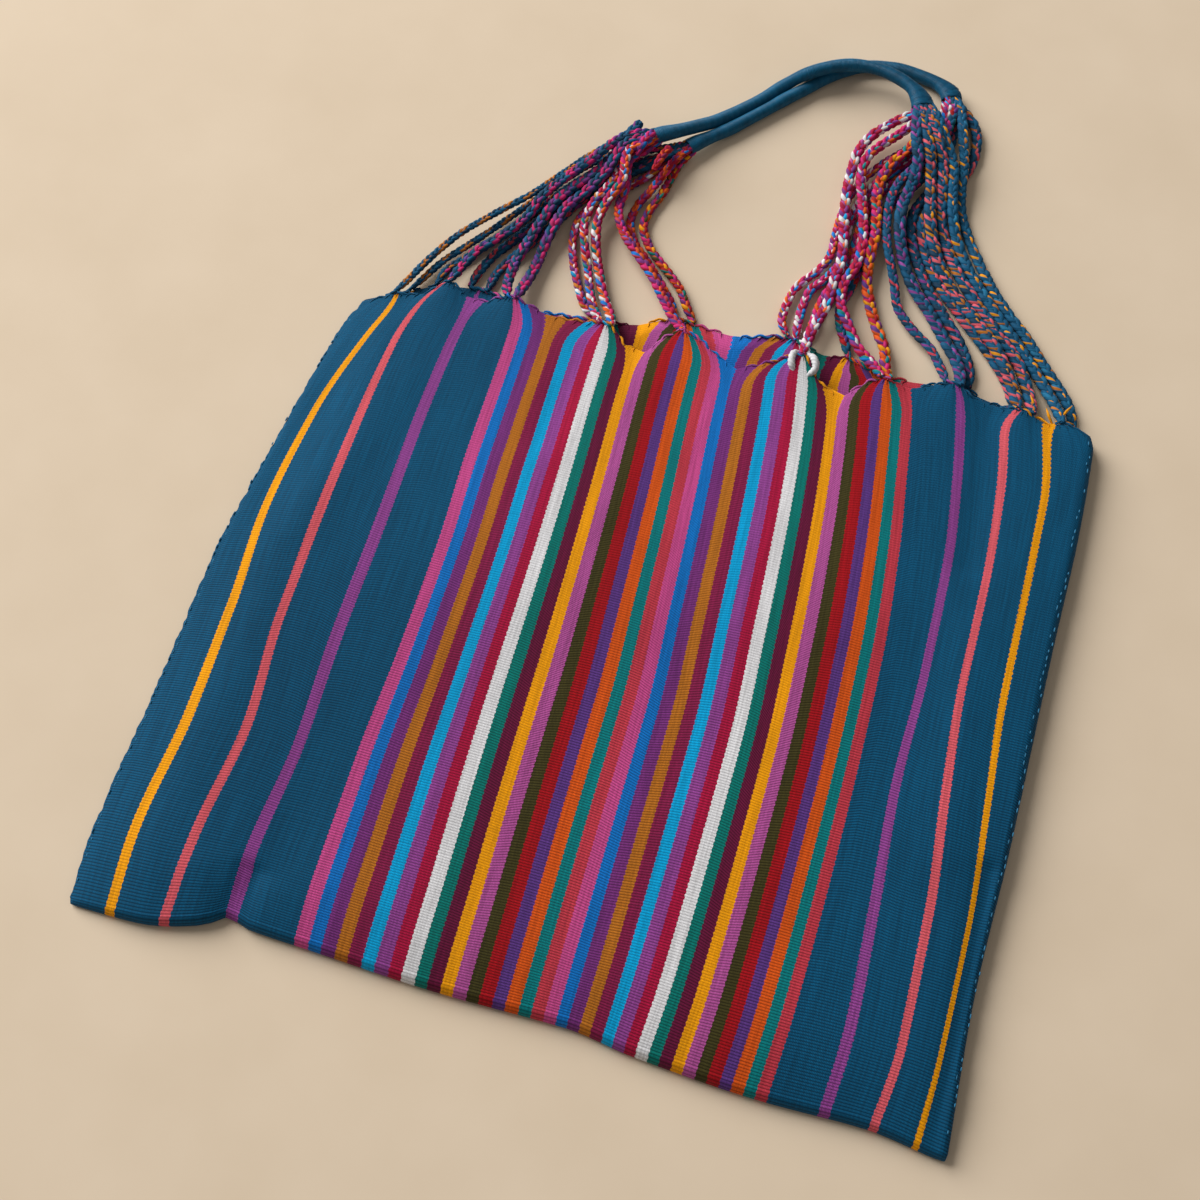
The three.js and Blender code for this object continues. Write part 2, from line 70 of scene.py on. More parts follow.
camera_data = bpy.data.cameras.new("camera")
camera_data.lens = 50
camera_data.sensor_width = 36
camera = placed("camera", camera_data)
camera.location = CAMERA_AT
looking = Vector((-math.sin(CAMERA_TURN) * math.cos(CAMERA_TILT),
                  math.cos(CAMERA_TURN) * math.cos(CAMERA_TILT),
                  -math.sin(CAMERA_TILT)))
camera.rotation_euler = looking.to_track_quat("-Z", "Y").to_euler()
bpy.context.scene.camera = camera
print("camera looks along", [round(c, 3) for c in looking])

# %% [markdown]
# ## Where the cords lie
#
# A rope or a braid is a fixed length of something flexible, so its route comes before its
# surface. Each route is a short list of places, and a smooth curve runs through them. The two
# handles are listed first, because the braids end side by side in them.

# %% Routes of the handles
def metres(places):
    """Places in millimetres as metres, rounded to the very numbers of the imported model."""
    return np.round(np.array(places, float) * mm, 5)


HANDLE_ROUTES = {  # x, y and z in millimetres
    "front": [
        (-61, 312, 13.7), (-57.8, 314.4, 13.7), (-50, 320.5, 12), (-42, 328, 9.2),
        (-32, 337.5, 6.2), (-21, 349.5, 4.5), (-9, 363, 4.2), (0, 374.2, 4.9), (8, 381.2, 7.6),
        (14, 384.2, 10.5), (21, 388.4, 11.8), (30, 392.5, 12.5), (40, 395.6, 12.5),
        (53, 396, 12.7), (66, 392, 13.4), (76, 386, 13.8), (82, 378.5, 13.8), (83.4, 375, 13.8)],
    "back": [
        (-42, 316, 5.6), (-39.1, 319.2, 5.6), (-31, 328, 4.4), (-22, 337, 3.9), (-13, 347, 3.9),
        (-4, 357.3, 3.9), (5, 368, 3.9), (14, 377.8, 3.9), (22, 387, 3.9), (31, 395.3, 3.9),
        (41, 402, 3.9), (52, 405.6, 3.9), (64, 407, 3.9), (76, 405.6, 4), (89, 402, 4.6),
        (97, 396, 5.5), (98.6, 392.2, 5.6)],
}

# %% Routes of the braids
# name: side of the bag, panel, x of its foot at the mouth, lane in the handle, lane rows, route.
# The foot and the route are in millimetres.
BRAID_ROUTES = {
    "front_a": ("left", "front", -174, 0, 4, [
        (-170, 181, 8), (-164, 198, 6), (-152, 220, 6.5), (-134, 241, 8), (-120, 257, 8),
        (-109.5, 272, 7.9), (-97, 288, 9.8)]),
    "front_b": ("left", "front", -146, 1, 4, [
        (-143, 199, 8), (-137, 213, 8), (-127, 226, 8), (-118, 241, 8.2), (-113, 257, 9),
        (-104, 271, 10.6), (-92, 286, 14.2)]),
    "front_c": ("left", "front", -112, 2, 4, [
        (-115, 195, 8), (-115, 209, 8), (-112, 226, 8), (-109, 241, 8), (-105, 256, 8),
        (-97, 270, 8), (-88, 281, 10)]),
    "front_d": ("left", "front", -107, 3, 4, [
        (-106, 198, 7), (-104, 211, 5), (-103, 226, 6), (-101, 240, 8), (-98, 254, 8),
        (-90, 268, 8), (-82, 280, 13)]),
    "front_e": ("left", "front", -58, 4, 4, [
        (-62, 190, 8), (-68, 201, 6), (-75, 219, 5), (-81, 233, 7.8), (-85, 248, 8.2),
        (-83, 263, 9.5), (-77, 276, 11)]),
    "front_f": ("left", "front", -51, 5, 4, [
        (-54, 191, 8), (-62, 205, 5), (-69, 220, 5), (-75, 235, 6.5), (-78, 249, 8.5),
        (-76, 263, 11), (-71, 274, 15)]),
    "front_g": ("left", "front", -12, 6, 4, [
        (-18, 197, 8.2), (-28, 209, 8), (-39, 223, 8), (-52, 236, 8), (-63, 248, 8.2),
        (-69, 261, 8.4), (-68.5, 273, 9.5)]),
    "back_a": ("left", "back", -167, 0, 3, [
        (-163, 189, 2.7), (-156, 203, 2.7), (-145, 218, 2.7), (-135, 232, 2.7), (-125, 247, 2.7),
        (-115, 262, 2.7), (-107, 274, 2.7), (-97, 287, 2.7), (-85, 300, 2.7), (-73, 309, 2.7)]),
    "back_b": ("left", "back", -155, 1, 3, [
        (-152, 198, 2.7), (-144, 209, 2.7), (-135, 222, 2.7), (-126, 234, 2.7), (-117, 247, 2.7),
        (-108, 262, 2.7), (-100, 274, 2.7), (-90, 287, 2.7), (-78, 299, 3.6), (-70, 305, 5)]),
    "back_c": ("left", "back", -136, 2, 3, [
        (-134, 202, 2.7), (-129, 215, 2.7), (-121, 228, 2.7), (-110, 247, 2.7), (-101, 262, 2.7),
        (-93, 274, 2.7), (-83, 286, 2.7), (-71, 297, 2.7)]),
    "back_d": ("left", "back", -126, 3, 3, [
        (-124, 204, 2.7), (-118, 217, 2.7), (-111, 229, 2.7), (-103, 243, 2.7), (-95, 260, 2.7),
        (-86, 273, 2.7), (-76, 284, 2.7), (-66, 293, 4.4)]),
    "back_e": ("left", "back", -62, 4, 3, [
        (-70, 196, 2.7), (-77, 207, 2.7), (-84, 221, 2.7), (-89, 236, 2.7), (-90, 249, 2.7),
        (-86, 262, 2.7), (-78, 272, 2.7), (-68, 282, 2.7), (-61, 290, 2.7)]),
    "back_f": ("left", "back", -20, 5, 3, [
        (-25, 212, 2.7), (-33, 222, 2.7), (-44, 234, 2.7), (-55, 245, 2.7), (-61, 258, 2.7),
        (-60, 270, 3), (-55, 281, 5)]),
    "back_g": ("left", "back", -9, 6, 3, [
        (-15, 211, 2.7), (-22.5, 222.5, 2.7), (-35, 234, 2.7), (-46, 244.5, 2.7), (-53, 257, 2.7),
        (-52.5, 268, 2.7), (-49, 280, 2.7)]),
    "front_h": ("right", "front", 54, 0, 2, [
        (55, 206, 8), (57, 218, 8), (60, 232, 8), (60, 246, 8), (61, 261, 8), (59, 277, 8),
        (56, 291, 8), (54, 306, 8), (53, 322, 8), (54, 338, 8), (59, 351, 8.5), (67, 360, 10),
        (75, 367, 11.5)]),
    "front_i": ("right", "front", 99, 2, 2, [
        (92, 201, 8), (83, 209, 7), (75, 221, 7), (67, 234, 8), (66, 248, 8), (70, 262, 8),
        (70, 277, 8), (67, 292, 8), (63, 307, 8), (59, 322, 8), (60, 336, 8), (66, 346, 8.5),
        (74, 355, 10), (81, 364, 11.5)]),
    "front_j": ("right", "front", 103.5, 4, 2, [
        (100, 199, 7), (97, 213, 5), (90, 226, 4), (83, 240, 4), (78, 254, 5), (76, 268, 7),
        (76, 282, 8), (74, 296, 8), (71, 310, 8), (71, 324, 8), (75, 336, 8), (81, 346, 8.5),
        (85, 356, 10)]),
    "front_k": ("right", "front", 133, 6, 3, [
        (129, 209, 7), (121, 221, 5), (109, 231, 4), (98, 243, 4), (93, 257, 5), (88, 269, 7),
        (83, 282, 8), (80, 296, 8), (79, 310, 8), (81, 323, 8), (87, 335, 8.2), (92.5, 347, 9.9)]),
    "front_l": ("right", "front", 141, 1, 3, [
        (139, 210, 7), (135, 219, 5), (126, 231, 4), (116, 244, 4), (104, 258, 4), (96, 271, 5),
        (90.5, 284, 7), (87, 298, 8.2), (86.5, 310, 8.2), (88.3, 321, 8.8), (89.2, 331, 12.3),
        (87.5, 341, 15), (84, 351, 16.2)]),
    "front_m": ("right", "front", 174, 3, 3, [
        (169, 206, 8.2), (163, 218, 8), (155, 230, 7.2), (142, 246, 4.5), (128, 260, 3),
        (116.5, 275, 3.4), (108.5, 290, 5.5), (103.5, 304, 7.8), (100.5, 318, 9.2),
        (97.5, 332, 11.6), (94, 344, 15)]),
    "front_n": ("right", "front", 182, 5, 3, [
        (177, 209, 6), (168, 228, 3.5), (155, 242, 3), (142, 256, 3), (130, 270, 3),
        (120.5, 284, 3), (113.5, 297, 3), (109, 310, 5.6), (106, 325, 9.2), (102.5, 341, 11.8),
        (97, 353.5, 15.4)]),
    "front_o": ("right", "front", 198, 7, 3, [
        (193, 204, 6), (184, 217.5, 3.5), (172, 232.5, 3), (160, 245.5, 3), (149, 257.5, 3),
        (138, 270.5, 3), (128, 284, 3.2), (120.5, 297, 4.8), (115, 312, 7.6), (111.5, 327, 9.6),
        (108.5, 342, 10.8)]),
    "back_h": ("right", "back", 43, 0, 3, [
        (38, 217, 2.7), (38, 229, 2.7), (41, 242, 2.7), (49, 254, 2.7), (54, 266, 2.7),
        (54, 280, 2.7), (54, 295, 2.7), (56, 310, 2.7), (61, 324, 2.7), (69, 337, 2.7),
        (78, 348, 2.7), (87, 359, 2.7)]),
    "back_i": ("right", "back", 48, 1, 3, [
        (47, 219, 2.7), (47, 231, 2.7), (49, 242, 2.7), (55, 251, 2.7), (60, 263, 2.7),
        (60, 278, 2.7), (60, 293, 2.7), (62, 307, 2.7), (67, 320, 2.7), (75, 332, 2.7),
        (83.5, 343, 3.2), (90, 354, 4.8), (95, 363, 6.7)]),
    "back_j": ("right", "back", 53, 2, 3, [
        (55, 220, 2.7), (56, 233, 2.7), (59, 245, 2.7), (65, 256, 2.7), (66, 269, 2.7),
        (66, 284, 2.7), (67, 299, 2.7), (70, 311, 2.7), (76, 323, 2.7), (84, 334, 2.7),
        (92.5, 346, 2.7), (99, 358, 2.7)]),
    "back_k": ("right", "back", 79, 3, 3, [
        (75, 213, 2.7), (70, 223, 2.7), (67, 235, 2.7), (70, 248, 2.7), (72, 262, 2.7),
        (72, 277, 2.7), (73, 291, 2.7), (77, 304, 2.7), (83, 316, 2.7), (90.5, 327, 3.2),
        (97, 340, 6.4)]),
    "back_l": ("right", "back", 146, 4, 3, [
        (145, 213, 2.7), (140, 224, 2.7), (132, 236, 2.7), (121, 249, 2.7), (111, 262, 2.7),
        (103, 275, 2.7), (97, 288, 2.7), (94, 300, 2.7), (94, 311, 2.7), (98, 322, 2.7),
        (103, 335, 2.7)]),
    "back_n": ("right", "back", 206, 5, 3, [
        (201, 207, 2.7), (192, 219, 2.7), (181, 232, 2.7), (170, 245, 2.7), (158, 257, 2.7),
        (147, 270, 2.7), (136.5, 285, 2.7), (127.5, 300, 2.7), (120.5, 314, 3.6), (117, 328, 6.4),
        (115, 344, 8.4), (111.5, 360, 8.4)]),
    "back_m": ("right", "back", 172, 6, 2, [
        (166, 212, 2.7), (155, 226, 2.7), (142, 239, 2.7), (131, 250, 2.7), (119, 263, 2.7),
        (109, 277, 2.7), (103, 291, 2.7), (100, 303, 2.7), (103, 316, 2.7), (109, 327, 2.7),
        (115, 338, 2.7), (119, 351, 2.7), (119.5, 364, 3), (116, 377, 3.6)]),
}
BRAIDS = {name: (side, panel, metres(foot), lane, rows, metres(route))
          for name, (side, panel, foot, lane, rows, route) in BRAID_ROUTES.items()}
LANES = {"front left": 7, "back left": 7, "front right": 8, "back right": 7}
print("braids:", len(BRAIDS))

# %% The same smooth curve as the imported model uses
def smooth_line(points, spacing):
    """A centripetal Catmull-Rom line through the points, as evenly spaced places."""
    p = np.array(points, float)
    p = np.vstack([2 * p[0] - p[1], p, 2 * p[-1] - p[-2]])
    fine = np.linspace(0, 1, 24, endpoint=False)[:, None]
    spans = []
    for a, b, c, d in zip(p, p[1:], p[2:], p[3:]):
        ab, bc, cd = (np.linalg.norm(v) ** 0.5 for v in (b - a, c - b, d - c))
        leave = ((b - a) / ab - (c - a) / (ab + bc) + (c - b) / bc) * bc
        arrive = ((c - b) / bc - (d - b) / (bc + cd) + (d - c) / cd) * bc
        hermite = b * (1 + 2 * fine) * (1 - fine) ** 2 + c * fine ** 2 * (3 - 2 * fine)
        spans.append(hermite + leave * fine * (1 - fine) ** 2 - arrive * fine ** 2 * (1 - fine))
    line = np.vstack([*spans, p[-2][None]])
    return even_line(line, spacing)


def line_length(line):
    return float(np.linalg.norm(np.diff(line, axis=0), axis=1).sum())


def even_line(line, spacing):
    """The same line, with its points the same distance apart."""
    run = run_along(line)
    steps = max(2, round(run[-1] / spacing))
    wanted = np.linspace(0, run[-1], steps + 1)
    return np.stack([np.interp(wanted, run, line[:, k]) for k in range(3)], axis=1)


def run_along(line):
    """How far along the line each of its points is."""
    return np.concatenate([[0], np.cumsum(np.linalg.norm(np.diff(line, axis=0), axis=1))])


handle_lines = {which: smooth_line(metres(points), 2 * mm)
                for which, points in HANDLE_ROUTES.items()}
for which, line in handle_lines.items():
    print(which, "handle is", round(line_length(line), 4), "m long")


# %% The ends of the handles, where the braids lie in lanes
LANE_ROWS = [(18 * mm, 2.4 * mm, 2.6 * mm), (9 * mm, 1.95 * mm, 2.2 * mm),
             (3 * mm, 1.45 * mm, 1.6 * mm), (0.0, 1.3 * mm, 1.5 * mm)]
CLEARANCE = 0.4 * mm
TUCKED_IN = 3.5 * mm       # how far the braids run on inside the wrapping
TUCKED_NARROWER = 0.7


def lane_points(panel, side, lane, rows):
    """Where a braid runs in the last stretch before its handle, and inside its end."""
    line = handle_lines[panel]
    end, before = (line[0], line[1]) if side == "left" else (line[-1], line[-2])
    out = (end - before) / np.linalg.norm(end - before)
    across = np.array([-out[1], out[0], 0.0])
    across /= np.linalg.norm(across)
    from_middle = lane - (LANES[f"{panel} {side}"] - 1) / 2
    level = 1 if lane % 2 == 1 else -1
    places = []
    for away, pitch, stagger in LANE_ROWS[len(LANE_ROWS) - rows:]:
        place = end + out * (away + CLEARANCE) + across * from_middle * pitch
        places.append(place + np.array([0.0, 0.0, level * stagger]))
    inside = end - out * TUCKED_IN + across * from_middle * pitch * TUCKED_NARROWER
    places.append(inside + np.array([0.0, 0.0, level * stagger * TUCKED_NARROWER]))
    return places


print("front left lane 0 ends at", lane_points("front", "left", 0, 4)[-1].round(4))

# %% [markdown]
# ## The outline of the cloth
#
# The cloth is a little out of square, as handwoven cloth is when it lies down. The left and
# right edges, the fold at the bottom and the scalloped mouth of each panel are short tables of
# places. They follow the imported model's outline to within a few millimetres, so the finish
# lies on it.

# %% Outline tables
LEFT_EDGE = [(-0.195, -0.215), (-0.155, -0.218), (-0.080, -0.216), (-0.005, -0.215),
             (0.045, -0.210), (0.097, -0.204), (0.145, -0.197), (0.168, -0.190)]
RIGHT_EDGE = [(-0.195, 0.214), (-0.125, 0.212), (-0.045, 0.215), (0.060, 0.217),
              (0.133, 0.219), (0.180, 0.218), (0.192, 0.214)]
BOTTOM_EDGE = [(-0.215, -0.195), (-0.181, -0.194), (-0.149, -0.186), (-0.138, -0.179),
               (-0.126, -0.182), (-0.096, -0.183), (-0.031, -0.185), (0.030, -0.184),
               (0.065, -0.188), (0.128, -0.191), (0.172, -0.190), (0.214, -0.195)]
MOUTH = {
    "front": [(-0.190, 0.165), (-0.174, 0.172), (-0.160, 0.175), (-0.146, 0.186), (-0.128, 0.179),
              (-0.110, 0.185), (-0.080, 0.181), (-0.055, 0.183), (-0.034, 0.171), (-0.0125, 0.190),
              (0.000, 0.187), (0.019, 0.177), (0.038, 0.184), (0.054, 0.193), (0.076, 0.174),
              (0.101, 0.191), (0.116, 0.191), (0.136, 0.199), (0.155, 0.193), (0.177, 0.193),
              (0.190, 0.190), (0.203, 0.191), (0.214, 0.188)],
    "back": [(-0.190, 0.168), (-0.167, 0.180), (-0.152, 0.188), (-0.130, 0.191), (-0.098, 0.187),
             (-0.062, 0.189), (-0.037, 0.194), (-0.019, 0.203), (-0.008, 0.202), (0.014, 0.201),
             (0.044, 0.208), (0.064, 0.203), (0.079, 0.204), (0.100, 0.199), (0.122, 0.200),
             (0.143, 0.204), (0.160, 0.198), (0.172, 0.198), (0.190, 0.193), (0.206, 0.194),
             (0.214, 0.192)],
}


def smooth_table(pairs):
    """A smooth reading of a table of (known, wanted) pairs that never runs past its values."""
    known, wanted = np.array(pairs, float).T
    slope = np.diff(wanted) / np.diff(known)
    product = slope[:-1] * slope[1:]
    total = np.where(product > 0, slope[:-1] + slope[1:], 1.0)
    inner = np.where(product > 0, 2 * product / total, 0.0)
    tangent = np.concatenate([slope[:1], inner, slope[-1:]])

    def read(at):
        at = np.clip(at, known[0], known[-1])
        i = np.clip(np.searchsorted(known, at, side="right") - 1, 0, len(known) - 2)
        span = known[i + 1] - known[i]
        t = (at - known[i]) / span
        held = wanted[i] * (1 + 2 * t) * (1 - t) ** 2 + wanted[i + 1] * t ** 2 * (3 - 2 * t)
        return held + span * (tangent[i] * t * (1 - t) ** 2 - tangent[i + 1] * t ** 2 * (1 - t))

    return read


left_edge = smooth_table(LEFT_EDGE)
right_edge = smooth_table(RIGHT_EDGE)
bottom_edge = smooth_table(BOTTOM_EDGE)
mouth_edge = {panel: smooth_table(table) for panel, table in MOUTH.items()}
print("the cloth is", round(float(right_edge(0.0) - left_edge(0.0)), 4), "m wide at its middle")

# %% [markdown]
# ## The stripes
#
# In warp-faced cloth the long threads hide the cross threads completely, so every stripe is
# simply so many threads of one colour in the warp. The weaver laid a teal margin with three thin
# stripes, a middle of nineteen colours laid twice in the same order, and a second teal margin.
# One list of colours and widths across the flat cloth therefore says where each stripe is, and
# the material and the gathered yarns both read their colours from that list.

# %% Dye colours
DYES = {  # red, green and blue as a screen shows them, 0 to 255
    "teal": (4, 77, 114), "deep teal": (10, 54, 82), "bright teal": (24, 106, 146),
    "pink": (188, 72, 136), "blue": (10, 108, 190), "purple": (114, 48, 120),
    "ochre": (172, 104, 30), "maroon": (128, 28, 72), "cyan": (0, 152, 208),
    "lilac": (139, 66, 144), "crimson": (164, 18, 62), "white": (208, 210, 216),
    "green": (0, 114, 108), "wine": (98, 18, 56), "yellow": (222, 148, 6),
    "orchid": (170, 80, 150), "olive": (62, 58, 26), "red": (158, 14, 26),
    "violet": (88, 54, 130), "orange": (204, 82, 20), "leaf": (0, 118, 124),
    "coral": (207, 88, 101), "rose": (184, 56, 72), "magenta": (186, 32, 104),
    "hot pink": (222, 56, 108), "stitch": (44, 112, 150),
    "rope dark": (2, 78, 112), "rope light": (6, 98, 138),
}


def linear(name, strength=1.0):
    """A dye as the linear colour that a shader works with."""
    screen = np.array(DYES[name]) / 255
    light = np.where(screen > 0.04045, ((screen + 0.055) / 1.055) ** 2.4, screen / 12.92)
    return np.append(light * strength, 1.0)


print(len(DYES), "dyes; teal is", linear("teal").round(3))

# %% Stripe widths across the flat cloth
LEFT_MARGIN = [("teal", 20.4 * mm), ("yellow", 5.2 * mm), ("teal", 23.2 * mm), ("coral", 4.9 * mm),
               ("teal", 25.2 * mm), ("lilac", 6.5 * mm), ("teal", 28.5 * mm)]
RIGHT_MARGIN = [("teal", 20.0 * mm), ("lilac", 4.9 * mm), ("teal", 19.0 * mm), ("coral", 4.2 * mm),
                ("teal", 16.0 * mm), ("yellow", 3.3 * mm), ("teal", 15.6 * mm)]
MIDDLE = ["pink", "blue", "purple", "ochre", "maroon", "cyan", "lilac", "crimson", "white",
          "green", "wine", "yellow", "orchid", "olive", "red", "violet", "orange", "leaf", "rose"]
STRIPE = 6.2 * mm
stripes = LEFT_MARGIN + [(name, STRIPE) for name in MIDDLE + MIDDLE] + RIGHT_MARGIN
stripe_ends = np.cumsum([width for _, width in stripes])
stripe_starts = stripe_ends - [width for _, width in stripes]
stripe_middles = (stripe_starts + stripe_ends) / 2
CLOTH_WIDTH = float(stripe_ends[-1])
BLOCK_START = float(stripe_starts[len(LEFT_MARGIN)])
BLOCK_END = BLOCK_START + 2 * len(MIDDLE) * STRIPE
print(len(stripes), "stripes over", round(CLOTH_WIDTH, 4), "m")

# %% [markdown]
# ## How the warp threads lie
#
# The stripes wander, because the cloth was gathered up and has lain soft. A few warp threads are
# guides: for each of them, this table says how far across the bag it lies at eight levels. Every
# other thread lies evenly between its neighbours. At the mouth the threads also swing sideways
# to the nearest braid, which squeezes the stripes together at each foot and spreads them between.

# %% Guide threads
LEVELS = [-0.195, -0.150, -0.090, -0.030, 0.030, 0.090, 0.140, 0.185]
thin = [i for i, (name, _) in enumerate(stripes) if name != "teal"]
left_thin = thin[:3]
right_thin = thin[-3:]
GUIDES = [  # place across the flat cloth, then across the bag at each level
    (stripe_middles[left_thin[0]],
     [-0.1935, -0.1966, -0.1926, -0.1934, -0.1976, -0.1926, -0.1803, -0.1637]),
    (stripe_middles[left_thin[1]],
     [-0.1667, -0.1663, -0.1615, -0.1664, -0.1669, -0.1660, -0.1638, -0.1547]),
    (stripe_middles[left_thin[2]],
     [-0.1361, -0.1377, -0.1337, -0.1352, -0.1346, -0.1346, -0.1332, -0.1296]),
    (BLOCK_START, [-0.1030, -0.1045, -0.1045, -0.1025, -0.1020, -0.1040, -0.1040, -0.1050]),
    (BLOCK_START + 8.5 * STRIPE,
     [-0.0460, -0.0465, -0.0482, -0.0492, -0.0495, -0.0505, -0.0520, -0.0525]),
    (BLOCK_START + 19 * STRIPE, [0.0205, 0.0203, 0.0200, 0.0200, 0.0170, 0.0135, 0.0100, 0.0080]),
    (BLOCK_START + 27.5 * STRIPE,
     [0.0680, 0.0712, 0.0725, 0.0730, 0.0705, 0.0673, 0.0633, 0.0570]),
    (BLOCK_END, [0.1290, 0.1320, 0.1340, 0.1347, 0.1340, 0.1300, 0.1240, 0.1180]),
    (stripe_middles[right_thin[0]],
     [0.1555, 0.1585, 0.1567, 0.1541, 0.1562, 0.1555, 0.1510, 0.1442]),
    (stripe_middles[right_thin[1]],
     [0.1777, 0.1829, 0.1825, 0.1782, 0.1749, 0.1756, 0.1734, 0.1679]),
    (stripe_middles[right_thin[2]],
     [0.1989, 0.2014, 0.2023, 0.1994, 0.1964, 0.1966, 0.1965, 0.1905]),
]
guide_places = np.array([0.0, *[place for place, _ in GUIDES], CLOTH_WIDTH])
guide_reads = [left_edge, *[smooth_table(list(zip(LEVELS, xs))) for _, xs in GUIDES], right_edge]


def warp_x(flat, y):
    """How far across the bag the threads at these flat places lie, at height y."""
    flat, y = np.broadcast_arrays(flat, y)
    i = np.clip(np.searchsorted(guide_places, flat, side="right") - 1, 0, len(guide_reads) - 2)
    share = (flat - guide_places[i]) / (guide_places[i + 1] - guide_places[i])
    across = np.array([read(y) for read in guide_reads])
    low = np.take_along_axis(across, i[None], axis=0)[0]
    high = np.take_along_axis(across, i[None] + 1, axis=0)[0]
    return low + (high - low) * share


print("first pink thread at mid height:", warp_x(BLOCK_START, 0.0).round(4))

# %% Gathering at the mouth
# For each panel, the feet of its braids, and the places between feet where the threads part.
FEET = {
    "front": [-0.174, -0.146, -0.1095, -0.0545, -0.012, 0.054, 0.101, 0.137, 0.178, 0.198],
    "back": [-0.167, -0.155, -0.131, -0.062, -0.0145, 0.048, 0.079, 0.146, 0.172, 0.206],
}
PARTINGS = {
    "front": [-0.190, -0.160, -0.131, -0.084, -0.034, 0.019, 0.076, 0.120, 0.157, 0.189, 0.214],
    "back": [-0.190, -0.161, -0.143, -0.098, -0.037, 0.014, 0.064, 0.115, 0.160, 0.190, 0.214],
}
GATHER_REACH = 19 * mm
GATHER_SHARE = 0.87
GATHER_POWER = 2.6


def swing(panel, x):
    """How far the threads that come up at x are drawn sideways at the very edge."""
    feet, partings = np.array(FEET[panel]), np.array(PARTINGS[panel])
    i = np.clip(np.searchsorted(partings, x, side="right") - 1, 0, len(feet) - 1)
    foot = feet[i]
    parting = np.where(x < foot, partings[i], partings[i + 1])
    half = np.abs(parting - foot)
    share = np.clip(np.abs(x - foot) / half, 0, 1)
    drawn = GATHER_SHARE * half * (share ** GATHER_POWER - share)
    return np.sign(x - foot) * drawn


print("a thread 12 mm from its foot swings", swing("front", np.array([-0.0425])).round(4))

# %% [markdown]
# ## The cloth
#
# A thick weft under a dense warp makes this cloth ribbed: fine cords run across the bag, about
# 1.4 mm apart. The bag could be two planes with a bump map, but its outline, its folds and its
# ribs are what the eye follows, so the cloth is one closed mesh. Outside, it runs from the back
# mouth down, round the fold, and up the front, with a row of points on every crest and in every
# groove. Inside, a coarser skin makes the pocket. The two meet at the lips of the mouth.

# %% Sizes of the cloth
PANEL_THICKNESS = 2.0 * mm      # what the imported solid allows
CLOTH_THICKNESS = 1.4 * mm      # the woven cloth itself
POUCH_DEPTH = 7.2 * mm
SEAM_GAP = 0.4 * mm
RIBS = 270                      # up one panel
RIB_PITCH = 1.39 * mm
RIB_HEIGHT_LOW = 0.22 * mm      # near the fold
RIB_HEIGHT_HIGH = 0.07 * mm     # near the mouth
SEAM_PINCH = 5 * mm             # how far in from a seam the cloth is drawn thin
FOLD_OUT = 4.6 * mm             # how far the fold stands out below the panels
FOLD_PAST = 2 * mm              # how far it reaches past the outline table
SWELLS = [  # across, up, width, length, height
    (0.13, 0.36, 0.10, 0.20, 0.9), (0.22, 0.08, 0.04, 0.14, -1.4), (0.36, 0.62, 0.10, 0.40, 0.7),
    (0.52, 0.30, 0.08, 0.35, -0.8), (0.68, 0.70, 0.09, 0.30, 0.8), (0.83, 0.42, 0.06, 0.25, -0.8),
    (0.93, 0.60, 0.05, 0.40, 0.8),
]
FOLDS = [  # from x, y to x, y; half width; height, all in mm: troughs are negative
    (-138, -184, -133, -158, 4.5, -4.2), (-152, -188, -160, -165, 9, 1.6),
    (-118, -182, -116, -165, 10, 0.8), (206, -195, 207, -60, 5, -2.2),
    (160, 186, 166, 95, 7, -1.9), (-63, 176, -68, 105, 8, -1.6),
    (-150, 120, -175, 20, 12, 0.9), (30, 60, 45, -60, 11, -0.9),
    (100, 150, 112, 40, 10, 0.8), (-15, 165, -22, 70, 10, 0.7),
    (175, 60, 184, -60, 9, 0.9), (-190, 30, -205, -80, 9, 0.8),
]
rng = np.random.default_rng(11)


def ease(t):
    t = np.clip(t, 0, 1)
    return t * t * (3 - 2 * t)


def near_line(x, y, start, end, width):
    """A soft ridge along a line: 1 on it, falling away to nothing over the width."""
    run = np.subtract(end, start)
    t = ((x - start[0]) * run[0] + (y - start[1]) * run[1]) / (run @ run)
    t = np.clip(t, 0, 1)
    off = (x - start[0] - t * run[0]) ** 2 + (y - start[1] - t * run[1]) ** 2
    return np.exp(-off / width ** 2)


print("ribs cover", RIBS * RIB_PITCH, "m of warp a panel")


# %% The plan of a panel
MOUTH_LEVEL = 0.185             # about where the mouth lies, as a first guess
FOOT_LEVEL = -0.190             # about where the fold lies
CUT_REACH = 0.14                # share of the panel over which the ribs turn straight
CUT_POWER = 1.4


def panel_plan(panel, flat, up):
    """x, y and the distance below the mouth for flat places across and shares up a panel."""
    mouth = mouth_edge[panel]
    head_x = warp_x(flat, mouth(warp_x(flat, np.full_like(flat, MOUTH_LEVEL))))
    drawn = swing(panel, head_x)
    head_y = mouth(head_x + drawn)
    foot_x = warp_x(flat, np.full_like(flat, FOOT_LEVEL))
    foot_y = bottom_edge(foot_x) + FOLD_OUT - FOLD_PAST
    # the weft lies straight across, and the fold cuts a little above or below it
    straight = np.polyval(np.polyfit(foot_x, foot_y, 1), foot_x)
    cut = (foot_y - straight) * np.clip(1 - up[:, None] / CUT_REACH, 0, 1) ** CUT_POWER
    y = straight + cut + (head_y - straight) * up[:, None]
    below = head_y - y
    pull = np.clip(1 - below / GATHER_REACH, 0, 1) ** 2
    x = warp_x(np.broadcast_to(flat, y.shape), y) + drawn * pull
    return x, y, below


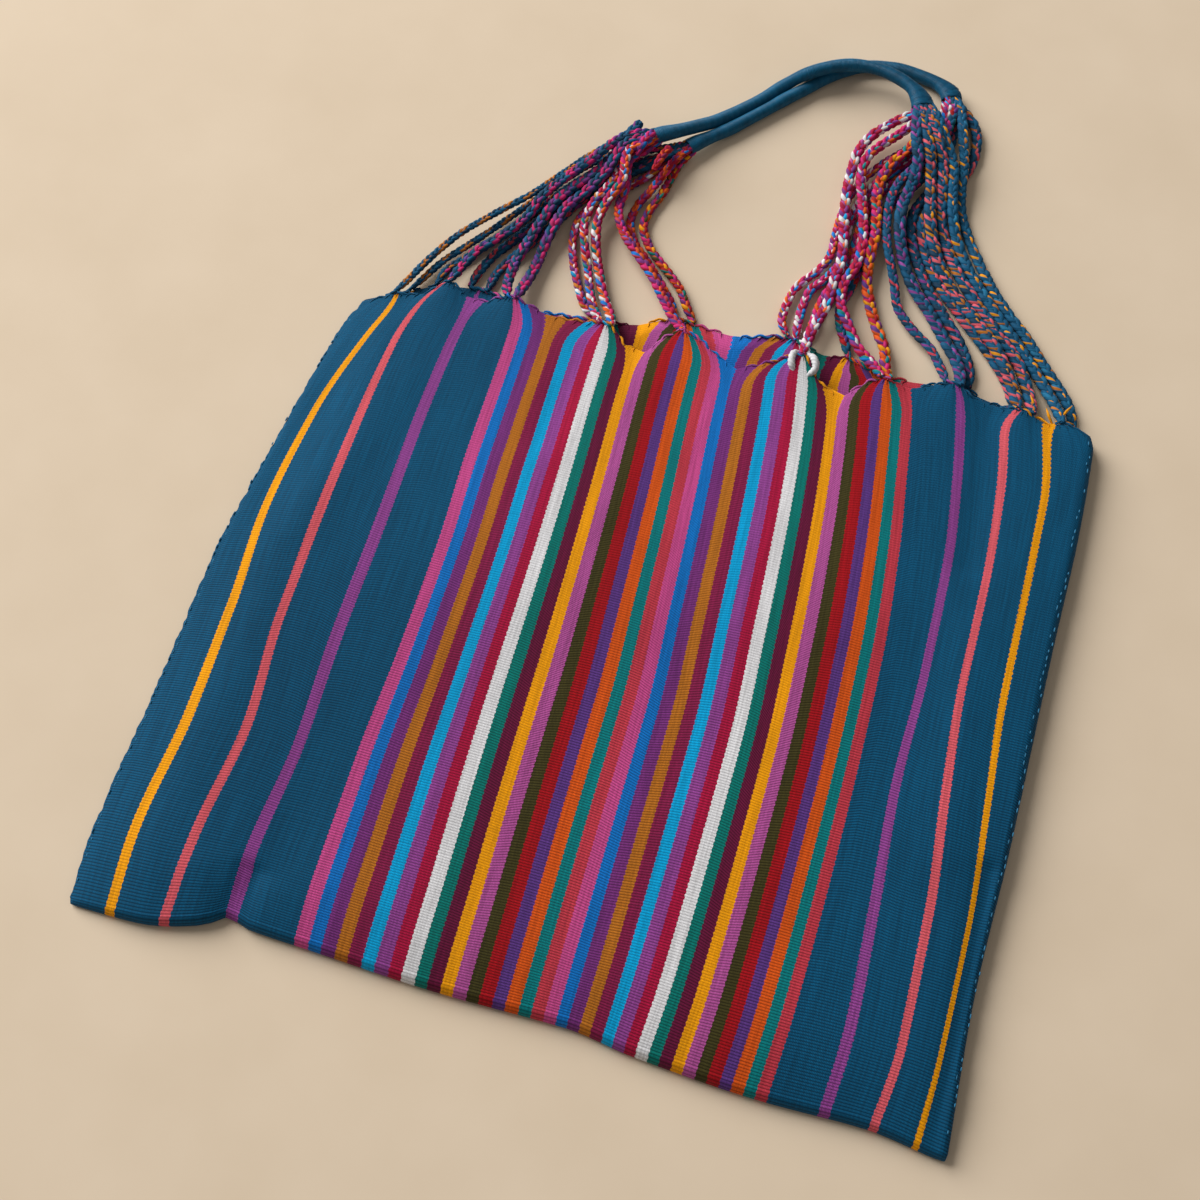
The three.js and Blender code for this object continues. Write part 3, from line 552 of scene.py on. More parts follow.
# %% The height of the front panel
FOOT_RIDGE = 1.0 * mm           # a low ridge runs down from each foot
RIDGE_WIDTH = 5 * mm
RIDGE_LENGTH = 22 * mm
DIP_DEPTH = 3.2 * mm            # and the lip dips between the feet
DIP_SIZE = 13 * mm
LEFT_RISE = 0.09                # share of the width over which the front rises from its left side
RIGHT_ROUNDING = 0.009          # the right side is full, and only its very edge is rounded
FOOT_REACH = 0.10               # share of the height over which the front sinks to the fold
FOOT_SINK = 0.55
THINNEST_GAP = 0.3 * mm


def front_gap(x, y, up, below):
    """The gap between the panels: nothing at the seams and the fold, full between them."""
    left, right = left_edge(y), right_edge(y)
    across = (x - left) / (right - left)
    up = np.broadcast_to(up, x.shape)
    round_edge = np.sqrt(1 - (1 - np.clip((1 - across) / RIGHT_ROUNDING, 0, 1)) ** 2)
    rise = ease(across / LEFT_RISE) * round_edge
    rise = rise * (1 - FOOT_SINK * np.clip(1 - up / FOOT_REACH, 0, 1) ** 2)
    swell = sum(height * mm * np.exp(-((across - a) / w) ** 2 - ((up - u) / n) ** 2)
                for a, u, w, n, height in SWELLS)
    for x0, y0, x1, y1, width, height in FOLDS:
        line = near_line(x, y, (x0 * mm, y0 * mm), (x1 * mm, y1 * mm), width * mm)
        swell = swell + height * mm * line
    for foot in FEET["front"]:
        ridge = np.exp(-((x - foot) / RIDGE_WIDTH) ** 2 - below / RIDGE_LENGTH)
        swell = swell + FOOT_RIDGE * ridge
    for dip in PARTINGS["front"][1:-1]:
        swell = swell - DIP_DEPTH * np.exp(-((x - dip) / DIP_SIZE) ** 2 - below / DIP_SIZE)
    return np.maximum(SEAM_GAP + rise * (POUCH_DEPTH - SEAM_GAP + swell), THINNEST_GAP)


# %% Columns that follow the warp, and rows for every rib
LEFT_COLUMNS = [0.0, 1.0 * mm, 2.6 * mm]      # more of them where the sides curve
RIGHT_COLUMNS = [8.0 * mm, 4.4 * mm, 2.4 * mm, 1.1 * mm, 0.4 * mm, 0.0]
INNER_INSET = 4 * mm            # how far the pocket stays inside each seam
INNER_START = 0.012             # where the pocket begins, as a share of the panel
INNER_ROWS = 41
RIB_UNEVENNESS = 0.3
RIGHT_NUBS = 0.4                # the right side shows its bumps less than the left
RIGHT_PINCH = 0.2
NUB_WIDTH = 1.5 * mm

columns = list(LEFT_COLUMNS)
for start, end, (_, width) in zip(stripe_starts, stripe_ends, stripes):
    parts = max(1, round(width / STRIPE))
    columns += [start + (end - start) * k / parts for k in range(parts)]
columns += [CLOTH_WIDTH - inset for inset in RIGHT_COLUMNS]
flat = np.array(sorted(set(columns)))
inner_flat = INNER_INSET + (CLOTH_WIDTH - 2 * INNER_INSET) * flat / CLOTH_WIDTH
outer_up = np.linspace(0, 1, 2 * RIBS + 1)
inner_up = np.linspace(INNER_START, 1, INNER_ROWS)
rib_uneven = 1 + RIB_UNEVENNESS * rng.standard_normal(2 * RIBS + 1).clip(-1.5, 1.5)
rib_height = (RIB_HEIGHT_LOW + (RIB_HEIGHT_HIGH - RIB_HEIGHT_LOW) * ease(outer_up)) * rib_uneven
crest = np.arange(2 * RIBS + 1) % 2 == 0
# the weft turns back at the two side edges, which leaves them a little bumpy
nubs = np.convolve(np.random.default_rng(5).standard_normal(2 * RIBS + 1), np.hanning(9), "same")
selvage = np.exp(-flat / NUB_WIDTH) + RIGHT_NUBS * np.exp((flat - CLOTH_WIDTH) / NUB_WIDTH)
pinch = ease(1 - flat / SEAM_PINCH) + RIGHT_PINCH * ease(1 - (CLOTH_WIDTH - flat) / SEAM_PINCH)
print(len(flat), "columns and", 2 * len(outer_up), "rows outside")


# %% The four skins
NUB_SIZE = 0.14 * mm
FRONT_PINCH = 1.7 * mm          # how far the outer skins draw together at the seams
BACK_PINCH = 0.9 * mm
FOOT_THICKENING = 0.5 * mm      # the cloth is a little thicker just above the fold
THICK_FOOT_REACH = 0.03         # over this share of the panel


def skin(panel, inner):
    """One skin of a panel as rows of points."""
    across, up = (inner_flat, inner_up) if inner else (flat, outer_up)
    x, y, below = panel_plan(panel, across, up)
    if not inner:
        x = x + NUB_SIZE * nubs[:, None] * selvage
    if panel == "front":
        z = 2 * PANEL_THICKNESS + front_gap(x, y, up[:, None], below)
        if inner:
            z = z - CLOTH_THICKNESS - FOOT_THICKENING * ease(1 - up[:, None] / THICK_FOOT_REACH)
        else:
            z = z - FRONT_PINCH * pinch
            z = z + np.where(crest, 0, -rib_height)[:, None]
    elif inner:
        z = np.full_like(x, CLOTH_THICKNESS)
    else:
        z = BACK_PINCH * pinch + np.where(crest, 0, rib_height)[:, None]
    return np.stack([x, y, z], axis=-1)


outer_back, outer_front = skin("back", False), skin("front", False)
inner_back, inner_front = skin("back", True), skin("front", True)

# the rounded fold between the two outer skins
FOLD_ROWS = 11
FOLD_RIBS = 4                   # from the middle of the fold to each skin
CORNER_POWER = 0.14             # smaller keeps the fold full nearer its two ends
CLIMB_POWER = 2.0               # the cloth's own weight flattens the fold's lower half
turn = np.linspace(-math.pi / 2, math.pi / 2, FOLD_ROWS + 2)[1:-1]
low, high = outer_back[0], outer_front[0]
fold = np.empty((FOLD_ROWS, len(flat), 3))
fold[..., 0] = low[:, 0]
corners = np.sin(np.linspace(0, math.pi, len(flat))).clip(0) ** CORNER_POWER
fold[..., 1] = low[:, 1] - FOLD_OUT * np.cos(turn)[:, None] * corners
climb = ((1 + np.sin(turn)) / 2) ** CLIMB_POWER
fold[..., 2] = low[:, 2] + climb[:, None] * (high[:, 2] - low[:, 2])
outside = np.concatenate([outer_back[::-1], fold, outer_front])
inside = np.concatenate([inner_back[::-1], inner_front])
outside_rib = np.concatenate([-FOLD_RIBS - np.arange(2 * RIBS + 1)[::-1] / 2,
                              turn * 2 / math.pi * FOLD_RIBS,
                              FOLD_RIBS + np.arange(2 * RIBS + 1) / 2])
inside_rib = np.concatenate([-FOLD_RIBS - RIBS * inner_up[::-1], FOLD_RIBS + RIBS * inner_up])
print("outside grid", outside.shape, "inside grid", inside.shape)

# %% One closed mesh
across_count = len(flat)
inside_start = outside.shape[0] * across_count
back_zero, front_zero = 2 * RIBS, 2 * RIBS + FOLD_ROWS + 1


def outer_at(front, row, column):
    return (front_zero + row if front else back_zero - row) * across_count + column


def inner_at(front, row, column):
    middle = len(inner_up)
    return inside_start + (middle + row if front else middle - 1 - row) * across_count + column


faces = []
for start, grid, flip in ((0, outside, False), (inside_start, inside, True)):
    at = start + np.arange(grid.shape[0] * across_count).reshape(grid.shape[0], across_count)
    quads = np.stack([at[:-1, :-1], at[:-1, 1:], at[1:, 1:], at[1:, :-1]], axis=-1).reshape(-1, 4)
    faces += (quads[:, ::-1] if flip else quads).tolist()
last = across_count - 1
for j in range(2 * RIBS):
    faces.append([outer_at(0, j, 0), outer_at(1, j, 0), outer_at(1, j + 1, 0), outer_at(0, j + 1, 0)])
    faces.append([outer_at(1, j, last), outer_at(0, j, last), outer_at(0, j + 1, last),
                  outer_at(1, j + 1, last)])
for j in range(len(inner_up) - 1):
    faces.append([inner_at(1, j, 0), inner_at(0, j, 0), inner_at(0, j + 1, 0), inner_at(1, j + 1, 0)])
    faces.append([inner_at(0, j, last), inner_at(1, j, last), inner_at(1, j + 1, last),
                  inner_at(0, j + 1, last)])
top, inner_top = 2 * RIBS, len(inner_up) - 1
for i in range(last):
    faces.append([outer_at(1, top, i), outer_at(1, top, i + 1), inner_at(1, inner_top, i + 1),
                  inner_at(1, inner_top, i)])
    faces.append([inner_at(0, inner_top, i), inner_at(0, inner_top, i + 1), outer_at(0, top, i + 1),
                  outer_at(0, top, i)])
for i, order in ((0, 1), (last, -1)):
    arc = [(back_zero + k) * across_count + i for k in range(FOLD_ROWS + 2)]
    ends = [outer_at(0, top, i), outer_at(1, top, i), inner_at(1, inner_top, i),
            inner_at(0, inner_top, i)]
    faces += [arc[::order], ends[::order]]

cloth_mesh = bpy.data.meshes.new("striped cloth")
cloth_mesh.from_pydata(np.concatenate([outside.reshape(-1, 3), inside.reshape(-1, 3)]).tolist(), [],
                       faces)
cloth_mesh.shade_smooth()
cloth = placed("striped_cloth", cloth_mesh)
triangles = sum(len(f) - 2 for f in faces)
print("cloth:", len(cloth_mesh.vertices), "points,", triangles, "triangles")

# %% Thread coordinates for the material
# Across is the place on the flat cloth and along is the rib's number, both in rib pitches.
thread_across = np.concatenate([np.broadcast_to(flat, outside.shape[:2]).ravel(),
                                np.broadcast_to(inner_flat, inside.shape[:2]).ravel()])
thread_along = np.concatenate([np.repeat(outside_rib, across_count),
                               np.repeat(inside_rib, across_count)])
corner = np.empty(len(cloth_mesh.loops), int)
cloth_mesh.loops.foreach_get("vertex_index", corner)
thread_map = cloth_mesh.uv_layers.new(name="threads")
pairs = np.stack([thread_across / CLOTH_WIDTH, thread_along / (2 * RIBS)], axis=1)
thread_map.data.foreach_set("uv", pairs[corner].ravel())
print("thread map from", pairs.min(0).round(3), "to", pairs.max(0).round(3))

# %% [markdown]
# ## Nodes, in few words
#
# Materials and Geometry Nodes trees are both made of nodes and links. Three small helpers keep
# them readable: one puts a node down with its inputs, one does arithmetic on numbers, and one
# does it on vectors. An input is given either a plain value or another node's output.

# %% Node helpers
def put(tree, kind, inputs=None, **settings):
    """Adds a node, sets its properties, and fills its inputs with values or links."""
    node = tree.nodes.new(kind)
    for name, value in settings.items():
        setattr(node, name, value)
    for name, value in (inputs or {}).items():
        if isinstance(value, bpy.types.NodeSocket):
            tree.links.new(value, node.inputs[name])
        else:
            node.inputs[name].default_value = value
    return node


def calc(tree, operation, *values):
    """One arithmetic step on numbers, as a socket."""
    return put(tree, "ShaderNodeMath", dict(enumerate(values)), operation=operation).outputs[0]


def vector_calc(tree, operation, *values):
    """One arithmetic step on vectors, as a socket. SCALE takes a vector and a number."""
    names = (0, "Scale") if operation == "SCALE" else range(len(values))
    node = put(tree, "ShaderNodeVectorMath", dict(zip(names, values)), operation=operation)
    return node.outputs["Value" if operation in ("LENGTH", "DOT_PRODUCT") else "Vector"]


def fade(tree, value, low, high, to_low=0.0, to_high=1.0):
    """A smooth change from one value to another while value goes from low to high."""
    node = put(tree, "ShaderNodeMapRange", {"Value": value, "From Min": low, "From Max": high,
                                            "To Min": to_low, "To Max": to_high},
               interpolation_type="SMOOTHSTEP")
    return node.outputs["Result"]


def new_material(name, **surface):
    """A material with one Principled shader, its plain numbers set on the shader's sockets."""
    material = bpy.data.materials.new(name)
    material.use_nodes = True
    tree = material.node_tree
    shader = tree.nodes["Principled BSDF"]
    for socket, value in surface.items():
        shader.inputs[socket.replace("_", " ")].default_value = value
    return material, tree, shader


def tinted(tree, colour, factor):
    """A colour made darker or lighter by a number."""
    return vector_calc(tree, "SCALE", colour, factor)


def noise(tree, place, scale, detail=2.0, stretch=(1.0, 1.0, 1.0)):
    """Soft noise around 0.5, stretched along the axes."""
    mapped = put(tree, "ShaderNodeMapping", {"Vector": place, "Scale": stretch})
    sizes = {"Vector": mapped.outputs[0], "Scale": scale, "Detail": detail}
    return put(tree, "ShaderNodeTexNoise", sizes).outputs[0]


print("node helpers are ready")

# %% [markdown]
# ## The finish of warp-faced cloth
#
# The stripes come from three colour ramps with hard steps: one for each margin, and one for the
# nineteen colours, which is read twice. A stripe's edge is never a clean line. On one rib the
# threads of this stripe are up, and on the next rib its neighbour's, so the edge is toothed at
# the rib pitch. Each rib is a row of small thread floats, which catch the light as beads, and
# the grooves between ribs hold a little shadow. Every thread also took the dye a little
# differently, which shows as fine streaks along the warp.

# %% Striped cloth material
def stripe_ramp(tree, at, parts):
    """A colour ramp with one hard step for each (name, width)."""
    ramp = put(tree, "ShaderNodeValToRGB", {"Fac": at})
    ramp.color_ramp.interpolation = "CONSTANT"
    total = sum(width for _, width in parts)
    begun = 0.0
    for k, (name, width) in enumerate(parts):
        if k < 2:
            stop = ramp.color_ramp.elements[k]
            stop.position = begun / total
        else:
            stop = ramp.color_ramp.elements.new(begun / total)
        stop.color = linear(name)
        begun += width
    return ramp.outputs["Color"]


TOOTH = 0.3 * mm                # how far odd ribs carry a stripe's edge past even ones
EDGE_WANDER = 0.5 * mm          # how far an edge strays on its way up the bag
THREAD_WIDTH = 0.62 * mm
FAINTEST_GROOVE_SHADE = 0.86               # the painted groove shade is never lighter than this
STRONG_SHADE_UNTIL_RIB = 110.0               # up to this rib from the fold the painted groove shade and crest highlight are strongest
WEAK_SHADE_FROM_RIB = 235.0               # and from this one on they are weak


def striped_cloth():
    material, tree, shader = new_material("striped rep cotton", Roughness=0.8, Sheen_Weight=0.04,
                                          Sheen_Roughness=0.4, Specular_IOR_Level=0.12)
    threads = put(tree, "ShaderNodeUVMap", uv_map="threads").outputs["UV"]
    parts = put(tree, "ShaderNodeSeparateXYZ", {"Vector": threads})
    ribs = calc(tree, "MULTIPLY", parts.outputs["Y"], 2.0 * RIBS)
    place = calc(tree, "MULTIPLY", parts.outputs["X"], CLOTH_WIDTH)
    solid = put(tree, "ShaderNodeTexCoord").outputs["Object"]

    # teeth along each stripe: one way on even ribs, the other way on odd ones
    parity = calc(tree, "PINGPONG", calc(tree, "FLOOR", calc(tree, "ADD", ribs, 0.5)), 1.0)
    wander = noise(tree, threads, 60.0, 1.0, (0.3, 9.0, 1.0))
    teeth = calc(tree, "MULTIPLY_ADD", parity, TOOTH, -TOOTH / 2)
    uneven = calc(tree, "MULTIPLY_ADD", wander, EDGE_WANDER, -EDGE_WANDER / 2)
    shifted = calc(tree, "ADD", calc(tree, "ADD", place, teeth), uneven)

    # a ramp holds only 256 steps, so each margin and the middle block has a ramp of its own
    left = stripe_ramp(tree, calc(tree, "DIVIDE", shifted, BLOCK_START), LEFT_MARGIN)
    in_block = calc(tree, "DIVIDE", calc(tree, "SUBTRACT", shifted, BLOCK_START),
                    len(MIDDLE) * STRIPE)
    middle = stripe_ramp(tree, calc(tree, "FRACT", in_block), [(name, STRIPE) for name in MIDDLE])
    beyond = calc(tree, "DIVIDE", calc(tree, "SUBTRACT", shifted, BLOCK_END), CLOTH_WIDTH - BLOCK_END)
    right = stripe_ramp(tree, beyond, RIGHT_MARGIN)
    after = calc(tree, "GREATER_THAN", shifted, BLOCK_START)
    past = calc(tree, "GREATER_THAN", shifted, BLOCK_END)
    colour = put(tree, "ShaderNodeMix", {0: after, 6: left, 7: middle}, data_type="RGBA").outputs[2]
    colour = put(tree, "ShaderNodeMix", {0: past, 6: colour, 7: right}, data_type="RGBA").outputs[2]

    # the thread floats: a row of beads on each rib, half a thread over on the next one
    thread_count = calc(tree, "MULTIPLY_ADD", parity, 0.5, calc(tree, "DIVIDE", place, THREAD_WIDTH))
    bead = calc(tree, "ABSOLUTE", calc(tree, "SINE", calc(tree, "MULTIPLY", thread_count, math.pi)))
    groove = calc(tree, "ABSOLUTE", calc(tree, "COSINE", calc(tree, "MULTIPLY", ribs, math.pi)))
    height = calc(tree, "MULTIPLY", calc(tree, "POWER", bead, 0.35), calc(tree, "POWER", groove, 0.8))

    # painted shade in the grooves and between the thread floats, a painted highlight on the crests,
    # then streaks along the warp and slow changes of tone over the bag
    streak = noise(tree, threads, 420.0, 2.0, (1.0, 0.05, 1.0))
    patch = noise(tree, solid, 9.0, 3.0)
    fleck = noise(tree, solid, 1500.0, 1.0)
    upward = calc(tree, "ABSOLUTE", ribs)
    # painted shade in the grooves and a painted highlight on the crests, both strongest near the fold
    groove_shade = fade(tree, upward, STRONG_SHADE_UNTIL_RIB, WEAK_SHADE_FROM_RIB, 0.24, 0.78)
    crest_highlight = fade(tree, upward, STRONG_SHADE_UNTIL_RIB, WEAK_SHADE_FROM_RIB, 1.30, 1.08)
    # the painted groove shade is weaker on light dyes and on the fold itself
    paleness = put(tree, "ShaderNodeRGBToBW", {"Color": colour}).outputs[0]
    groove_shade = calc(tree, "ADD", groove_shade, fade(tree, paleness, 0.08, 0.40, 0.0, 0.36))
    groove_shade = calc(tree, "ADD", groove_shade, fade(tree, upward, 0.0, 5.0, 0.2, 0.0))
    groove_shade = calc(tree, "MINIMUM", groove_shade, FAINTEST_GROOVE_SHADE)
    shade = calc(tree, "ADD", groove_shade, calc(tree, "MULTIPLY", height,
                                            calc(tree, "SUBTRACT", crest_highlight, groove_shade)))
    shade = calc(tree, "MULTIPLY", shade, fade(tree, streak, 0.25, 0.75, 0.84, 1.16))
    shade = calc(tree, "MULTIPLY", shade, fade(tree, patch, 0.25, 0.75, 0.93, 1.07))
    shade = calc(tree, "MULTIPLY", shade, fade(tree, fleck, 0.2, 0.8, 0.88, 1.12))
    tree.links.new(tinted(tree, colour, shade), shader.inputs["Base Color"])

    hair = calc(tree, "MULTIPLY_ADD", fleck, 0.35, height)
    bump = put(tree, "ShaderNodeBump", {"Strength": 0.6, "Distance": 0.2 * mm, "Height": hair})
    tree.links.new(bump.outputs["Normal"], shader.inputs["Normal"])
    rough = fade(tree, fleck, 0.0, 1.0, 0.68, 0.88)
    tree.links.new(rough, shader.inputs["Roughness"])
    return material


cloth_mesh.materials.append(striped_cloth())
print("cloth material nodes:", len(cloth_mesh.materials[0].node_tree.nodes))

# %% [markdown]
# ## Twisted strands and braids
#
# Each braid has three strands, and each strand is four to six soft yarns twisted together. On
# the real bag the flecks of colour are single dyed yarns that come up wherever the twist and the
# braid bring them on top. So the braid is built the same way in Geometry Nodes. One tree draws a
# strand along any line: a tube with one lobe for each yarn, turning slowly as it goes. A second
# tree first lays three lines in the figure of eight that a braider's hands make, and then uses
# the first tree on each of them. The same strand tree later draws the gathers at the mouth.

# %% A tree with named sizes
def new_tree(name, sizes):
    """A Geometry Nodes tree with a curve going in, named sizes, a material, and a mesh out."""
    tree = bpy.data.node_groups.new(name, "GeometryNodeTree")
    tree.interface.new_socket("Curve", in_out="INPUT", socket_type="NodeSocketGeometry")
    for label, value in sizes.items():
        kind = "NodeSocketInt" if isinstance(value, int) else "NodeSocketFloat"
        tree.interface.new_socket(label, in_out="INPUT", socket_type=kind).default_value = value
    tree.interface.new_socket("Material", in_out="INPUT", socket_type="NodeSocketMaterial")
    tree.interface.new_socket("Mesh", in_out="OUTPUT", socket_type="NodeSocketGeometry")
    given = tree.nodes.new("NodeGroupInput").outputs
    return tree, given, tree.nodes.new("NodeGroupOutput").inputs["Mesh"]


def capture(tree, geometry, domain="POINT", **fields):
    """Holds fields on the geometry as they are now. Gives the geometry and the held fields."""
    node = tree.nodes.new("GeometryNodeCaptureAttribute")
    node.domain = domain
    tree.links.new(geometry, node.inputs["Geometry"])
    held = {}
    for name, (kind, value) in fields.items():
        node.capture_items.new(kind, name)
        tree.links.new(value, node.inputs[name])
        held[name] = node.outputs[name]
    return node.outputs["Geometry"], held


def store(tree, geometry, name, value, kind="FLOAT"):
    """Writes a named attribute that the mesh keeps."""
    given = {"Geometry": geometry, "Name": name, "Value": value}
    return put(tree, "GeometryNodeStoreNamedAttribute", given, data_type=kind).outputs[0]


def line_frame(tree, geometry):
    """Holds a line's place, its level sideways direction, its upward direction, and its run."""
    tangent = tree.nodes.new("GeometryNodeInputTangent").outputs[0]
    across = vector_calc(tree, "CROSS_PRODUCT", tangent, (0.0, 0.0, 1.0))
    sideways = vector_calc(tree, "NORMALIZE", across)
    upward = vector_calc(tree, "CROSS_PRODUCT", sideways, tangent)
    place = tree.nodes.new("GeometryNodeInputPosition").outputs[0]
    run = tree.nodes.new("GeometryNodeSplineParameter").outputs["Length"]
    return capture(tree, geometry, place=("VECTOR", place), sideways=("VECTOR", sideways),
                   upward=("VECTOR", upward), run=("FLOAT", run))


def copies(tree, geometry, amount):
    """Lays several copies of each line on itself, and holds which copy each one is."""
    node = put(tree, "GeometryNodeDuplicateElements", {"Geometry": geometry, "Amount": amount},
               domain="SPLINE")
    return capture(tree, node.outputs["Geometry"], "CURVE",
                   which=("INT", node.outputs["Duplicate Index"]))


def moved_to(tree, geometry, frame_fields, aside, above):
    """Moves a line's points sideways and up from where they were held."""
    side = vector_calc(tree, "SCALE", frame_fields["sideways"], aside)
    lift = vector_calc(tree, "SCALE", frame_fields["upward"], above)
    place = vector_calc(tree, "ADD", frame_fields["place"], vector_calc(tree, "ADD", side, lift))
    return put(tree, "GeometryNodeSetPosition", {"Geometry": geometry, "Position": place}).outputs[0]


# %% The twisted strand tree
STRAND_SIZES = {"Yarns": 4, "Points A Yarn": 4, "Strand Radius": 1.7 * mm, "Groove": 0.12,
                "Lay Turn": 17.0 * mm, "Unevenness": 0.14}
LAY_SHIFT = 0.137               # how far round each further strand starts, in turns


def twisted_strand_tree():
    tree, given, result = new_tree("twisted strand", STRAND_SIZES)
    bundle = tree.nodes.new("GeometryNodeInputIndex").outputs[0]
    swell = tree.nodes.new("GeometryNodeInputRadius").outputs[0]
    line, kept = capture(tree, given["Curve"], "CURVE", bundle=("INT", bundle))
    line, size = capture(tree, line, "POINT", swell=("FLOAT", swell))
    line, fields = line_frame(tree, line)
    line = put(tree, "GeometryNodeSetCurveRadius", {"Curve": line, "Radius": 1.0}).outputs[0]

    # the section: a ring of points, a few to a yarn, with the first one of each in a groove
    count = calc(tree, "MULTIPLY", given["Yarns"], given["Points A Yarn"])
    ring = put(tree, "GeometryNodeCurvePrimitiveCircle", {"Resolution": count, "Radius": 1.0})
    place_in_ring = tree.nodes.new("GeometryNodeInputIndex").outputs[0]
    ring, section = capture(tree, ring.outputs[0], "POINT", at=("INT", place_in_ring))
    tube = put(tree, "GeometryNodeCurveToMesh", {"Curve": line, "Profile Curve": ring,
                                                 "Fill Caps": True}).outputs[0]

    # the tube's points, moved out to a lobed section that turns with the lay
    turn = calc(tree, "DIVIDE", section["at"], count)
    lay = calc(tree, "DIVIDE", fields["run"], given["Lay Turn"])
    lay = calc(tree, "ADD", lay, calc(tree, "MULTIPLY", kept["bundle"], LAY_SHIFT))
    angle = calc(tree, "MULTIPLY", calc(tree, "SUBTRACT", lay, turn), 2 * math.pi)
    at_in_yarn = calc(tree, "MODULO", section["at"], given["Points A Yarn"])
    in_groove = calc(tree, "LESS_THAN", at_in_yarn, 0.5)
    lobe = calc(tree, "SUBTRACT", 1.0, calc(tree, "MULTIPLY", in_groove, given["Groove"]))
    soft = put(tree, "ShaderNodeTexNoise", {"Vector": fields["place"], "Scale": 130.0, "Detail": 1.0})
    wave = calc(tree, "MULTIPLY", calc(tree, "SUBTRACT", soft.outputs[0], 0.5), given["Unevenness"])
    lump = calc(tree, "MULTIPLY_ADD", wave, 4.0, 1.0)
    reach = calc(tree, "MULTIPLY", calc(tree, "MULTIPLY", given["Strand Radius"], size["swell"]),
                 calc(tree, "MULTIPLY", lobe, lump))
    aside = calc(tree, "MULTIPLY", calc(tree, "COSINE", angle), reach)
    above = calc(tree, "MULTIPLY", calc(tree, "SINE", angle), reach)
    tube = moved_to(tree, tube, fields, aside, above)
    tube = store(tree, tube, "bundle", kept["bundle"], "INT")
    yarn = calc(tree, "FLOOR", calc(tree, "DIVIDE", section["at"], given["Points A Yarn"]))
    tube = store(tree, tube, "yarn", yarn, "INT")
    smooth = put(tree, "GeometryNodeSetShadeSmooth", {"Geometry": tube}).outputs[0]
    real = put(tree, "GeometryNodeRealizeInstances", {"Geometry": smooth}).outputs[0]
    painted = put(tree, "GeometryNodeSetMaterial", {"Geometry": real, "Material": given["Material"]})
    tree.links.new(painted.outputs[0], result)
    return tree


strand_tree = twisted_strand_tree()
print("twisted strand tree:", len(strand_tree.nodes), "nodes")

# %% The braid tree
BRAID_SIZES = {"Half Width": 1.45 * mm, "Half Height": 0.62 * mm, "Crossing": 14.0 * mm,
               "Step": 1.2 * mm, "Foot Ease": 7.0 * mm, "Tip Ease": 13.0 * mm, "Foot Share": 0.62,
               "Tip Share": 0.62, "Looseness": 0.9}
BLUNTNESS = 0.09                # a strand lingers at the side where it turns back


def braid_tree():
    tree, given, result = new_tree("three strand braid", {**BRAID_SIZES, **STRAND_SIZES})
    line = put(tree, "GeometryNodeResampleCurve", {"Curve": given["Curve"], "Length": given["Step"]},
               mode="LENGTH").outputs[0]
    line, fields = line_frame(tree, line)
    whole = tree.nodes.new("GeometryNodeSplineLength").outputs["Length"]
    line, ends = capture(tree, line, "CURVE", whole=("FLOAT", whole))
    from_foot = fade(tree, fields["run"], 0.0, given["Foot Ease"], given["Foot Share"], 1.0)
    to_tip = calc(tree, "SUBTRACT", ends["whole"], fields["run"])
    from_tip = fade(tree, to_tip, 0.0, given["Tip Ease"], given["Tip Share"], 1.0)
    share = calc(tree, "MINIMUM", from_foot, from_tip)
    line, strand = copies(tree, line, 3)

    # hands never pull quite evenly, so the crossings come a little early or late
    uneven = put(tree, "ShaderNodeTexNoise", {"Vector": fields["place"], "Scale": 38.0, "Detail": 1.0})
    late = calc(tree, "MULTIPLY", calc(tree, "SUBTRACT", uneven.outputs[0], 0.5), given["Looseness"])
    turns = calc(tree, "ADD", calc(tree, "DIVIDE", fields["run"], given["Crossing"]),
                 calc(tree, "DIVIDE", strand["which"], 3.0))
    angle = calc(tree, "MULTIPLY", calc(tree, "ADD", turns, late), 2 * math.pi)
    wide = calc(tree, "MULTIPLY", given["Half Width"], share)
    tall = calc(tree, "MULTIPLY", given["Half Height"], share)
    # lingering at the sides makes a strand's swing blunter than a wave
    third = calc(tree, "SINE", calc(tree, "MULTIPLY", angle, 3.0))
    blunt = calc(tree, "MULTIPLY_ADD", third, BLUNTNESS, calc(tree, "SINE", angle))
    aside = calc(tree, "MULTIPLY", blunt, wide)
    above = calc(tree, "MULTIPLY", calc(tree, "SINE", calc(tree, "MULTIPLY", angle, 2.0)), tall)
    line = moved_to(tree, line, fields, aside, above)
    line = put(tree, "GeometryNodeSetCurveRadius", {"Curve": line, "Radius": share}).outputs[0]
    passed = {name: given[name] for name in [*STRAND_SIZES, "Material"]}
    strands = put(tree, "GeometryNodeGroup", {"Curve": line, **passed}, node_tree=strand_tree)
    painted = put(tree, "GeometryNodeSetMaterial",
                  {"Geometry": strands.outputs["Mesh"], "Material": given["Material"]})
    tree.links.new(painted.outputs[0], result)
    return tree


plait_tree = braid_tree()
print("braid tree:", len(plait_tree.nodes), "nodes")


# %% Turning a line and a tree into a plain mesh
def line_object(name, lines):
    """A curve object that holds these lines. A line's points are x, y, z or x, y, z, radius."""
    curve = bpy.data.curves.new(name, "CURVE")
    curve.dimensions = "3D"
    for line in lines:
        line = np.asarray(line, float)
        spline = curve.splines.new("POLY")
        spline.points.add(len(line) - 1)
        spline.points.foreach_set("co", np.column_stack([line[:, :3], np.ones(len(line))]).ravel())
        if line.shape[1] == 4:
            spline.points.foreach_set("radius", np.ascontiguousarray(line[:, 3]))
    return placed(name, curve)


